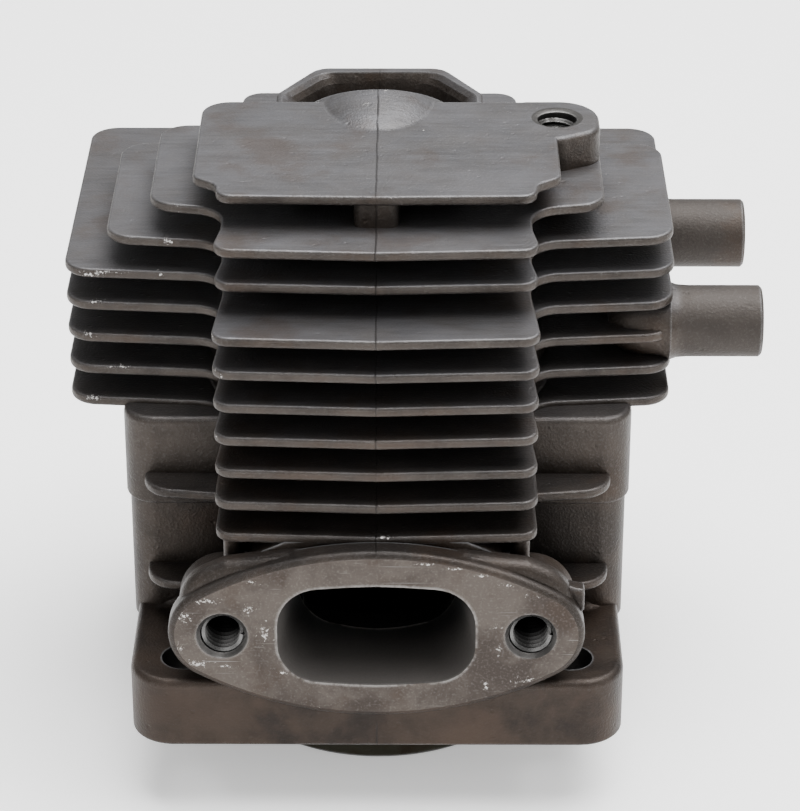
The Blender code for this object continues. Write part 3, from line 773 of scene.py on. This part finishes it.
def make_liner_iron(tools):
    """Iron sleeve: oily grey-green outside, with the crossed marks of honing in the bore, and painted shade
    that turns it black deep in the bore and at the ports.
    """
    made, tree, shader, place = new_metal("oily_liner_iron", 0.4, 0.85)
    skin = tool(tree, tools["cast_skin"], Vector=place)
    wear_and_glint = tool(tree, tools["edge_wear_and_glint"], Vector=place, Width=0.4 * MM, Break_Up=0.4)
    depth = tool(tree, tools["shade_depth"], Reach=40.0 * MM)["Depth"]
    moved = node(tree, "ShaderNodeMapping")
    feed(tree, moved, Vector=place, Location=-AXIS)
    parts = split(tree, moved.outputs[0])
    front = band(tree, parts["Y"], -8.0 * MM, -14.0 * MM)
    over_base = band(tree, parts["Z"], 0.5 * MM, 5.0 * MM)
    under_ports = band(tree, parts["Z"], 5.0 * MM, 10.0 * MM)
    over_ports = band(tree, parts["Z"], 34.0 * MM, 26.0 * MM)
    at_ports = times(tree, under_ports, over_ports)
    # Painted shade: the front of the liner above the base and the whole liner at port height go black, so
    # the bore seen through the ports stays dark.
    painted_bore_shade = maths(tree, "MAXIMUM", times(tree, front, over_base), at_ports)
    colour = blended(tree, skin["Blotch"], (0.035, 0.033, 0.022, 1), (0.085, 0.080, 0.058, 1))
    brown = band(tree, noise(tree, place, 7.0 * MM, 5.0, 0.65), 0.5, 0.66)
    colour = tinted(tree, colour, brown, 0.6, (0.040, 0.024, 0.012, 1))
    # Painted shade: deep in the bore the colour goes black by depth.
    colour = tinted(tree, colour, band(tree, depth, 0.3, 0.95), 0.9, (0.002, 0.002, 0.0015, 1))
    colour = tinted(tree, colour, wear_and_glint["Mask"], 0.5, (0.26, 0.255, 0.24, 1))
    colour = tinted(tree, colour, painted_bore_shade, 0.985, (0.001, 0.001, 0.001, 1))
    rough = sloped(tree, skin["Blotch"], 0.3, 0.22)
    coat(tree, shader, colour, maths(tree, "MULTIPLY_ADD", painted_bore_shade, 0.5, rough, clamp=True))
    turn = maths(tree, "ARCTAN2", parts["Y"], parts["X"])
    hone = None
    for slope in (-1.0, 1.0):
        climb = sloped(tree, turn, slope * 0.5 * LINER_RADIUS, parts["Z"])
        mark = maths(tree, "SINE", times(tree, climb, 2 * math.pi / (0.6 * MM)))
        hone = mark if hone is None else maths(tree, "MAXIMUM", hone, mark)
    height = sloped(tree, hone, 0.15, skin["Grain"])
    relief(tree, shader, height, 0.02 * MM)
    return made


def make_wire_steel(tools):
    """Wound wire of the thread inserts, with painted shade between its turns and painted shade that turns
    it black further in.
    """
    made, tree, shader, place = new_metal("bright_insert_wire", 0.28, 1.0)
    skin = tool(tree, tools["cast_skin"], Vector=place, Grain=0.15 * MM)
    depth = tool(tree, tools["shade_depth"], Reach=2.5 * MM)["Depth"]
    inward = behind_exhaust_face(tree, place, 1.0 * MM, 6.0 * MM)
    colour = blended(tree, skin["Grain"], (0.05, 0.049, 0.048, 1), (0.17, 0.168, 0.165, 1))
    # Painted shade: dark between the turns, then black deeper in the hole.
    colour = tinted(tree, colour, depth, 1.2, (0.003, 0.002, 0.002, 1))
    colour = tinted(tree, colour, inward, 0.985, (0.001, 0.001, 0.001, 1))
    coat(tree, shader, colour, sloped(tree, skin["Grain"], 0.25, 0.18))
    relief(tree, shader, skin["Grain"], 0.02 * MM)
    return made


def make_metals():
    tools = {
        "edge_wear_and_glint": make_edge_wear_and_glint(),
        "shade_depth": make_shade_depth(),
        "cast_skin": make_cast_skin(),
        "scratches": make_scratches(),
        "chips": make_chips(CHIPS, 0.75),
        "flange_chips": make_chips(FLANGE_CHIPS, 1.0),
        "parting_line": make_parting_line(),
    }
    return {
        "skin": make_aged_casting(tools),
        "face": make_machined_face(tools),
        "bored": make_bored_metal(tools),
        "port": make_sooty_shaded_port(tools),
        "iron": make_liner_iron(tools),
        "wire": make_wire_steel(tools),
    }


# The casting


def fin_bottom(number):
    return LOWEST_FIN + FIN_PITCH * (FIN_COUNT - number)


def front_block(front):
    """Right half of a fin's front: a shallow V from the middle, a round corner and a narrow neck."""
    return [
        (0.0, front, 0.0),
        (BLOCK_HALF_X, front + 1.1 * MM, 2.4 * MM),
        (20.8 * MM, -19.0 * MM, 3.0 * MM),
    ]


def wing(side_x, back, corner=4.0 * MM):
    """Right half of a fin behind its neck, out to the wing tip and back."""
    return [
        (20.8 * MM, -12.6 * MM, 4.5 * MM),
        (side_x, -10.8 * MM, corner),
        (side_x, back, corner),
    ]


def fin_outline(front, left, right, wing_back, rear):
    """Whole outline of a fin. rear lists the right half's corners behind the wings."""
    right_half = front_block(front) + wing(right, wing_back) + rear
    left_half = front_block(front)[1:] + wing(-left, wing_back) + rear
    return rounded(right_half + [(-x, y, radius) for x, y, radius in reversed(left_half)])


def rear_block(wing_back, back):
    return [(REAR_HALF_X, wing_back, 3.0 * MM), (REAR_HALF_X, back, 3.0 * MM)]


def add_fins(bodies, metals):
    second_back, third_back, rear_edge = 16.0 * MM, 21.0 * MM, 28.0 * MM
    plate_side = [
        (21.2 * MM, PLATE_FRONT + 0.5 * MM, 2.2 * MM),
        (21.5 * MM, -15.6 * MM, 2.2 * MM),
        (24.7 * MM, -13.2 * MM, 2.0 * MM),
        (24.7 * MM, 12.8 * MM, 4.0 * MM),
    ]
    outlines = {
        1: rounded([(0.0, PLATE_FRONT, 0.0)] + mirrored_x(plate_side)),
        2: fin_outline(HEAD_FRONT, -30.9 * MM, 30.9 * MM, second_back, rear_block(second_back, rear_edge)),
        3: fin_outline(HEAD_FRONT, -37.0 * MM, 40.5 * MM, third_back, rear_block(third_back, 33.0 * MM)),
    }
    for number in range(4, 9):
        outlines[number] = fin_outline(BLOCK_FRONT, WING_LEFT, WING_RIGHT, WING_BACK, [])
    low_back = [(20.8 * MM, 20.0 * MM, 0.0), (REAR_HALF_X, 33.0 * MM, 3.0 * MM)]
    low_half = front_block(BLOCK_FRONT)[:2] + low_back
    for number in (9, 10):
        outlines[number] = rounded(mirrored_x(low_half[1:]) + low_half[:1])
    for number, outline in outlines.items():
        foot = fin_bottom(number)
        fin = plate(outline, foot, foot + FIN_THICK, 0.45 * MM, 0.4 * MM)
        body(f"fin_{number}", fin, bodies, metals["skin"])


def add_head(bodies, metals):
    """Screw boss, rib under the top plate and the wall round the spark plug's pocket."""
    skin = metals["skin"]
    lug = rounded_mm([
        (20.0, -0.6, 0.0),
        (25.6, -0.2, 2.5),
        (30.8, 2.6, 3.5),
        (30.8, 13.3, 5.5),
        (20.0, 13.2, 0.0),
    ])
    body("cover_lug", plate(lug, fin_bottom(2) + 0.4 * MM, TOP + 0.05 * MM, 0, 0.9 * MM, 4), bodies, skin)
    rib = rounded_mm([
        (2.9, -19.0, 1.2),
        (4.0, 0.0, 0.0),
        (-4.0, 0.0, 0.0),
        (-2.9, -19.0, 1.2),
    ])
    body("top_rib", plate(rib, 68.0 * MM, TOP - 0.4 * MM), bodies, skin)
    tongue = rounded(mirrored_mm([
        (15.0, 20.0, 0.0),
        (15.0, 27.0, 2.0),
        (9.4, 36.7, 3.5),
    ]))
    body("pocket_wall", plate(tongue, 57.0 * MM, WALL_TOP, 0, 0.9 * MM, 4), bodies, skin)


def cut_dish(dishes, metals):
    """Dish between the pocket's wall and the spark plug boss, with a lip that rolls outwards."""
    dish = rounded(mirrored_mm([
        (12.2, 13.6, 0.0),
        (12.2, 26.2, 3.0),
        (7.3, 33.8, 3.3),
    ]))
    foot = WALL_TOP - 3.0 * MM
    body("dish", plate(dish, 66.0 * MM, foot + 0.1 * MM, 1.5 * MM), dishes, metals["skin"])
    middle = sum(dish, Vector((0, 0))) / len(dish)
    for rise, spread in ((1.4 * MM, 1.03), (0.9 * MM, 1.05), (0.6 * MM, 1.06), (1.0 * MM, 1.1)):
        body("dish_lip", plate(dish, foot, foot + rise, far_scale=spread), dishes, metals["skin"])
        dish = [middle + (point - middle) * spread for point in dish]
        foot += rise


def add_plug_boss(bosses, metals):
    """Boss round the spark plug hole and the swell that leads up to it from the top plate."""
    boss = plate(round_outline(10.2 * MM), -20.0 * MM, 0.0, 0, 0.6 * MM, 4)
    body("plug_boss", boss, bosses, metals["skin"], INTO_PLUG)
    swell = bmesh.new()
    bmesh.ops.create_uvsphere(swell, u_segments=64, v_segments=40, radius=1.0)
    radii = Matrix.Diagonal((11.5 * MM, 17.0 * MM, 8.6 * MM, 1.0))
    at_seat = Matrix.Translation((0, 13.5 * MM, 70.0 * MM)) @ radii
    body("plug_swell", swell, bosses, metals["skin"], at_seat)


def add_base(bodies, metals):
    """Base flange, the casings over the transfer passages and the ledges round them."""
    skin = metals["skin"]
    square = rounded(box_corners(BASE_HALF_X, BASE_HALF_Y, 6.0 * MM))
    base = plate(square, 0.0, BASE_THICK, 0.3 * MM, 1.1 * MM, 4)
    machined = [(metals["face"], lambda f: f.normal.z < -0.99)]
    body("base_flange", base, bodies, skin, extra=machined)
    casing_y, corner = 15.6 * MM, 4.0 * MM
    casing = plate(rounded(box_corners(34.9 * MM, casing_y, corner)), 8.0 * MM, 40.0 * MM)
    body("transfer_casing", casing, bodies, skin)
    bulge = rounded(box_corners(35.4 * MM, casing_y + 0.5 * MM, corner + 0.5 * MM))
    body("transfer_bulge", plate(bulge, 27.4 * MM, 41.0 * MM, 0.45 * MM, 1.0 * MM), bodies, skin)
    foot = flared_foot(32.6 * MM, casing_y, corner, BASE_THICK - 0.5 * MM, 1.6 * MM)
    body("casing_foot", foot, bodies, skin)
    for side in (-1, 1):
        for level in (16.2 * MM, 31.0 * MM):
            ledge = rounded_mm([
                (side * 18.0, -22.5, 0.0),
                (side * 32.4, -20.5, 4.5),
                (side * 32.4, 20.5, 4.5),
                (side * 18.0, 22.5, 0.0),
            ])
            body("ledge", plate(ledge, level, level + FIN_THICK, 0.45 * MM, 0.45 * MM), bodies, skin)


def add_ports(bodies, metals):
    """Exhaust flange with its shoulder, columns and duct, and the intake flange behind."""
    skin = metals["skin"]
    milled = [(metals["face"], lambda f: abs(f.normal.y) > 0.99 and f.calc_area() > 1e-4)]
    rim = 0.9 * MM
    face = plate(lens(13.1 * MM, FLANGE_HOLE_X, 7.4 * MM, FLANGE_Z), EXHAUST_FACE, -33.0 * MM, rim, 0, 4)
    body("exhaust_face", face, bodies, skin, ALONG_Y, milled)
    shoulder = rounded(mirrored_mm([
        (16.0, 6.0, 3.0),
        (27.4, 14.0, 5.0),
        (26.6, 25.8, 6.0),
        (20.6, 28.6, 3.0),
        (12.0, 29.9, 0.0),
    ]))
    swell = plate(shoulder, EXHAUST_FACE + 1.2 * MM, -31.0 * MM, 1.6 * MM, 1.6 * MM, 5)
    body("exhaust_shoulder", swell, bodies, skin, ALONG_Y)
    duct = rounded(mirrored_x([
        (17.5 * MM, 7.5 * MM, 4.0 * MM),
        (17.5 * MM, 28.5 * MM, 3.0 * MM),
        (12.4 * MM, LOWEST_FIN + 0.4 * MM, 0.0),
    ]))
    body("exhaust_duct", plate(duct, -32.5 * MM, -15.0 * MM), bodies, skin, ALONG_Y)
    tab = rounded_mm([
        (26.0, 20.6, 0.0),
        (28.3, 20.6, 0.5),
        (28.3, 24.0, 0.5),
        (26.0, 24.6, 0.0),
    ])
    body("exhaust_tab", plate(tab, -33.6 * MM, -31.4 * MM, 0.3 * MM, 0.3 * MM), bodies, skin, ALONG_Y)
    oval = lens(13.0 * MM, INTAKE_HOLE_X, 6.5 * MM, INTAKE_Z)
    rear = plate(oval, 34.5 * MM, INTAKE_FACE, 0.6 * MM, 0.8 * MM, 4)
    body("intake_face", rear, bodies, skin, ALONG_Y, milled)
    neck = rounded(mirrored_mm([(13.0, 6.5, 5.0), (13.0, 29.5, 5.0)]))
    body("intake_duct", plate(neck, 15.0 * MM, 36.0 * MM), bodies, skin, ALONG_Y)
    for side in (-1, 1):
        ring = round_outline(6.4 * MM, (side * FLANGE_HOLE_X, FLANGE_Z))
        boss = plate(ring, -32.5 * MM, -23.5 * MM, 0, 1.0 * MM)
        body("exhaust_boss", boss, bodies, skin, ALONG_Y)
        column = rounded_mm([
            (side * 18.6, -30.4, 1.0),
            (side * 20.9, -30.4, 1.0),
            (side * 20.4, -14.0, 0.0),
            (side * 18.6, -14.0, 0.0),
        ])
        body("exhaust_column", plate(column, 21.0 * MM, LOWEST_FIN + 0.5 * MM), bodies, skin)
        ring = round_outline(5.4 * MM, (side * INTAKE_HOLE_X, INTAKE_Z))
        boss = plate(ring, 26.0 * MM, 36.0 * MM, 1.0 * MM)
        body("intake_boss", boss, bodies, skin, ALONG_Y)


def add_posts(bodies, metals):
    """Coil posts, with the milled ends that the ignition coil sits on."""
    rim = 0.35 * MM
    profile = [
        (0.0, 32.0 * MM),
        (2.4 * MM, 32.0 * MM),
        (4.1 * MM, 34.2 * MM),
        (4.85 * MM, 36.6 * MM),
        (POST_RADIUS, 39.0 * MM),
        (POST_RADIUS + 0.5 * MM, 40.5 * MM),
        (POST_RADIUS + 0.12 * MM, 41.6 * MM),
        (POST_RADIUS, 43.0 * MM),
        (POST_RADIUS, POST_END - rim),
        (POST_RADIUS - rim, POST_END),
        (0.0, POST_END),
    ]
    for y in POST_YS:
        at_post = Matrix.Translation((0, y, POST_Z)) @ ALONG_X
        milled = [(metals["bored"], lambda f: f.normal.x > 0.99)]
        body("coil_post", turned(profile, 56), bodies, metals["skin"], at_post, milled)


def drilled(cutters, metal, radius, depth, placement, flare=0.5 * MM, sink=0.5 * MM, name="hole"):
    """Blind round hole down from the placement's XY plane. Its mouth flares out over the sink depth."""
    above = 1.0 * MM
    rim = radius + flare
    tip = radius * 0.55
    profile = [(0, -depth - tip), (radius, -depth), (radius, -sink), (rim, 0), (rim, above), (0, above)]
    body(name, turned(profile, ROUND_STEPS), cutters, metal, placement)


def cut_everything(cutters, metals):
    """Bore and dome, passages, ports, screw holes, plug hole and its pocket."""
    bored, port = metals["bored"], metals["port"]
    roof_radius = (BORE_RADIUS**2 + DOME_HEIGHT**2) / (2 * DOME_HEIGHT)
    roof_centre = LINER_TOP + DOME_HEIGHT - roof_radius
    edge = math.asin(BORE_RADIUS / roof_radius)
    steps = 14
    angles = [edge * (1 - step / steps) for step in range(steps)]
    roof = [(roof_radius * math.sin(a), roof_centre + roof_radius * math.cos(a)) for a in angles]
    roof.append((0.0, LINER_TOP + DOME_HEIGHT))
    pocket = LINER_RADIUS + 0.02 * MM
    seat = [(0.0, -2 * MM), (pocket, -2 * MM), (pocket, LINER_TOP), (BORE_RADIUS + 0.6 * MM, LINER_TOP)]
    body("bore", turned(seat + roof), cutters, port)
    for side in (-1, 1):
        passage = rounded_mm([
            (side * 21.5, -8.0, 0.0),
            (side * 31.5, -8.0, 3.0),
            (side * 31.5, 8.0, 3.0),
            (side * 21.5, 8.0, 0.0),
        ])
        body("passage", plate(passage, -2 * MM, 22.0 * MM, 0, 2.0 * MM, 4), cutters, port)
    half_x, half_z, arch = 13.65 * MM, 8.1 * MM, 1.0 * MM
    mouth = rounded([
        (0.0, FLANGE_Z - half_z, 50.0 * MM),
        (half_x, FLANGE_Z - half_z + arch, 6.0 * MM),
        (half_x, FLANGE_Z + half_z - arch, 6.0 * MM),
        (0.0, FLANGE_Z + half_z, 50.0 * MM),
        (-half_x, FLANGE_Z + half_z - arch, 6.0 * MM),
        (-half_x, FLANGE_Z - half_z + arch, 6.0 * MM),
    ])
    exhaust = plate(mouth, EXHAUST_FACE - 1 * MM, -18.0 * MM, far_scale=0.8)
    body("exhaust_port", exhaust, cutters, port, ALONG_Y)
    intake = round_outline(9.5 * MM, (0.0, INTAKE_Z), 64)
    body("intake_port", plate(intake, 18.0 * MM, INTAKE_FACE + 1 * MM), cutters, port, ALONG_Y)
    for side_x in (-1, 1):
        for side_y in (-1, 1):
            at_bolt = Matrix.Translation((side_x * BOLT[0], side_y * BOLT[1], 0.0))
            hole = plate(round_outline(3.1 * MM), -2 * MM, BASE_THICK + 1.5 * MM)
            body("bolt_hole", hole, cutters, bored, at_bolt)
        to_front = Matrix.Rotation(math.pi / 2, 4, "X")
        to_back = Matrix.Rotation(-math.pi / 2, 4, "X")
        at_exhaust = Matrix.Translation((side_x * FLANGE_HOLE_X, EXHAUST_FACE, FLANGE_Z)) @ to_front
        at_intake = Matrix.Translation((side_x * INTAKE_HOLE_X, INTAKE_FACE, INTAKE_Z)) @ to_back
        drilled(cutters, bored, 3.0 * MM, 10.0 * MM, at_exhaust, 0.55 * MM, 0.6 * MM, "exhaust_hole")
        drilled(cutters, bored, 2.3 * MM, 12.0 * MM, at_intake, name="intake_hole")
    for y in POST_YS:
        at_post = Matrix.Translation((POST_END, y, POST_Z)) @ ALONG_X
        drilled(cutters, bored, 2.3 * MM, 12.0 * MM, at_post, 0.4 * MM, 0.4 * MM, "post_hole")
    at_cover = Matrix.Translation((*COVER_BOSS, TOP + 0.05 * MM))
    drilled(cutters, bored, 2.75 * MM, 12.0 * MM, at_cover, 0.85 * MM, 0.32 * MM, "cover_hole")
    plug = plate(round_outline(6.5 * MM, steps=56), -23.0 * MM, 2 * MM)
    body("plug_hole", plug, cutters, bored, INTO_PLUG)
    shift = -2.6 * MM
    pocket_place = Matrix.Translation((0, shift, 0)) @ INTO_PLUG
    lift = -shift * math.sin(PLUG_TILT)
    pocket = plate(round_outline(12.5 * MM, steps=64), lift, 40 * MM)
    body("plug_pocket", pocket, cutters, metals["skin"], pocket_place)


def make_casting(metals):
    bodies = new_group("casting_bodies")
    dishes = new_group("casting_dishes")
    bosses = new_group("casting_bosses")
    cutters = new_group("casting_cutters")
    barrel = [
        (0.0, 5.0 * MM),
        (CORE_RADIUS, 5.0 * MM),
        (CORE_RADIUS, 40.0 * MM),
        (24.2 * MM, 42.0 * MM),
        (24.2 * MM, 50.0 * MM),
        (21.8 * MM, 54.0 * MM),
        (16.5 * MM, 63.0 * MM),
        (12.0 * MM, 72.0 * MM),
        (10.0 * MM, fin_bottom(1) + 0.5 * MM),
        (0.0, fin_bottom(1) + 0.5 * MM),
    ]
    casting = body("cylinder_body", turned(barrel), bpy.context.scene.collection, metals["skin"])
    add_base(bodies, metals)
    add_ports(bodies, metals)
    add_fins(bodies, metals)
    add_head(bodies, metals)
    add_posts(bodies, metals)
    cut_dish(dishes, metals)
    add_plug_boss(bosses, metals)
    cut_everything(cutters, metals)
    carved(casting, ("UNION", bodies), ("DIFFERENCE", dishes), ("UNION", bosses), ("DIFFERENCE", cutters))
    return finished(casting, "die_cast_aluminium", "cylinder_casting")


def make_threads(metals):
    """Cut threads of the cover screw, the intake screws and the coil screws, one coil in each hole."""
    home = bpy.context.scene.collection
    places = [
        ("cover_screw_thread", Matrix.Translation((*COVER_BOSS, TOP)), 2.75 * MM, 1.0 * MM, 10),
    ]
    for y, label in zip(POST_YS, ("front", "rear")):
        at_post = Matrix.Translation((POST_END, y, POST_Z)) @ ALONG_X
        places.append((f"{label}_post_thread", at_post, 2.3 * MM, 0.8 * MM, 13))
    for side, label in ((-1, "left"), (1, "right")):
        to_back = Matrix.Rotation(-math.pi / 2, 4, "X")
        at_intake = Matrix.Translation((side * INTAKE_HOLE_X, INTAKE_FACE, INTAKE_Z)) @ to_back
        places.append((f"{label}_intake_thread", at_intake, 2.3 * MM, 0.8 * MM, 13))
    for name, place, radius, pitch, turns in places:
        ridge = coil(radius, 0.42 * pitch, pitch, turns, -0.8 * MM - pitch * turns)
        finished(body(name, ridge, home, metals["bored"], place), "die_cast_aluminium")


def make_inserts(metals):
    """Wound wire inserts in the exhaust screw holes."""
    to_front = Matrix.Rotation(math.pi / 2, 4, "X")
    for side, label in ((-1, "left"), (1, "right")):
        at_exhaust = Matrix.Translation((side * FLANGE_HOLE_X, EXHAUST_FACE, FLANGE_Z)) @ to_front
        wire = coil(2.82 * MM, 0.42 * MM, 0.97 * MM, 9, -9.4 * MM, 36, 0.62)
        made = body(f"wound_insert_{label}", wire, bpy.context.scene.collection, metals["wire"], at_exhaust)
        finished(made, "insert_steel", f"exhaust_thread_insert_{label}", smooth_angle=50.0)


def make_liner(metals):
    """Iron liner with chamfered ends and its port windows."""
    cutters = new_group("liner_cutters")
    chamfer = 0.6 * MM
    profile = [
        (LINER_RADIUS, LINER_TOP),
        (LINER_RADIUS, chamfer - SKIRT_LENGTH),
        (LINER_RADIUS - chamfer, -SKIRT_LENGTH),
        (BORE_RADIUS + chamfer, -SKIRT_LENGTH),
        (BORE_RADIUS, 1.5 * MM - SKIRT_LENGTH),
        (BORE_RADIUS, LINER_TOP),
    ]
    liner = body("honed_liner", turned(profile), bpy.context.scene.collection, metals["iron"])
    quarter = math.pi / 2
    windows = [
        (10.5 * MM, 12.0 * MM, 24.0 * MM, -quarter, 1.5 * MM),
        (8.5 * MM, 10.0 * MM, 23.0 * MM, quarter, 1.5 * MM),
    ]
    for side in (0.0, math.pi):
        windows.append((6.5 * MM, 12.0 * MM, 21.5 * MM, side, 1.5 * MM))
        windows.append((7.5 * MM, -SKIRT_LENGTH - 3 * MM, 6.0 * MM, side, 2.0 * MM))
    for half_width, low, high, angle, corner in windows:
        opening = rounded([
            (-half_width, low, corner),
            (half_width, low, corner),
            (half_width, high, corner),
            (-half_width, high, corner),
        ])
        turn = Matrix.Rotation(angle + quarter, 4, "Z")
        body("window", plate(opening, -30.0 * MM, -14.0 * MM), cutters, metals["iron"], turn @ ALONG_Y)
    carved(liner, ("DIFFERENCE", cutters))
    return finished(liner, "liner_iron", "cylinder_liner")


# Floor, light and camera


def make_floor():
    """Pale floor, in deep shade where the open end of the liner stands on it."""
    builder = bmesh.new()
    bmesh.ops.create_grid(builder, x_segments=1, y_segments=1, size=4.0)
    made = bpy.data.materials.new("pale_floor")
    made.use_nodes = True
    tree = made.node_tree
    shader = tree.nodes["Principled BSDF"]
    shader.inputs["Roughness"].default_value = 0.9
    shader.inputs["Emission Color"].default_value = (1.0, 1.0, 1.0, 1)
    level = node(tree, "ShaderNodeVectorMath", operation="MULTIPLY_ADD")
    flat = Vector((1, 1, 0))
    feed(tree, level, i0=node(tree, "ShaderNodeTexCoord").outputs["Object"], i1=flat, i2=-AXIS * flat)
    distance = node(tree, "ShaderNodeVectorMath", operation="LENGTH")
    feed(tree, distance, i0=level.outputs[0])
    outside = band(tree, distance.outputs["Value"], LINER_RADIUS - 1.4 * MM, LINER_RADIUS - 0.2 * MM)
    colour = blended(tree, outside, (0.004, 0.004, 0.004, 1), (0.93, 0.93, 0.93, 1))
    tree.links.new(colour, shader.inputs["Base Color"])
    tree.links.new(times(tree, outside, 0.45), shader.inputs["Emission Strength"])
    body("floor", builder, bpy.context.scene.collection, made)


def make_light():
    """Wide soft lamp overhead, weaker ones from the front left and the right, and a pale sky."""
    for name, place, size, power in (
        ("overhead", (0.16, 0.10, 0.90), 0.9, 30.0),
        ("front_fill", (-0.45, -0.85, 0.45), 0.7, 3.0),
        ("right_fill", (0.75, -0.35, 0.40), 0.5, 2.0),
    ):
        lamp = bpy.data.lights.new(name, "AREA")
        lamp.size = size
        lamp.energy = power
        made = bpy.data.objects.new(name, lamp)
        made.location = place
        made.rotation_euler = (Vector((0, 0, 0.04)) - Vector(place)).to_track_quat("-Z", "Y").to_euler()
        bpy.context.scene.collection.objects.link(made)
    sky = bpy.data.worlds.new("studio")
    sky.use_nodes = True
    sky.node_tree.nodes["Background"].inputs["Color"].default_value = (1.0, 1.0, 1.0, 1)
    sky.node_tree.nodes["Background"].inputs["Strength"].default_value = 0.5
    bpy.context.scene.world = sky


def make_camera():
    """Long lens from in front of the exhaust flange, looking 28 degrees down."""
    lens_data = bpy.data.cameras.new("camera")
    lens_data.sensor_width = 36.0
    lens_data.sensor_fit = "HORIZONTAL"
    lens_data.lens = 147.15
    made = bpy.data.objects.new("camera", lens_data)
    made.location = AXIS + Vector((4.85, -413.74, 254.52)) * MM
    made.rotation_euler = (math.radians(90.0 - 28.0), 0.0, math.radians(0.2475))
    bpy.context.scene.collection.objects.link(made)
    bpy.context.scene.camera = made


metals = make_metals()
make_casting(metals)
make_liner(metals)
make_inserts(metals)
make_threads(metals)
make_floor()
make_light()
make_camera()
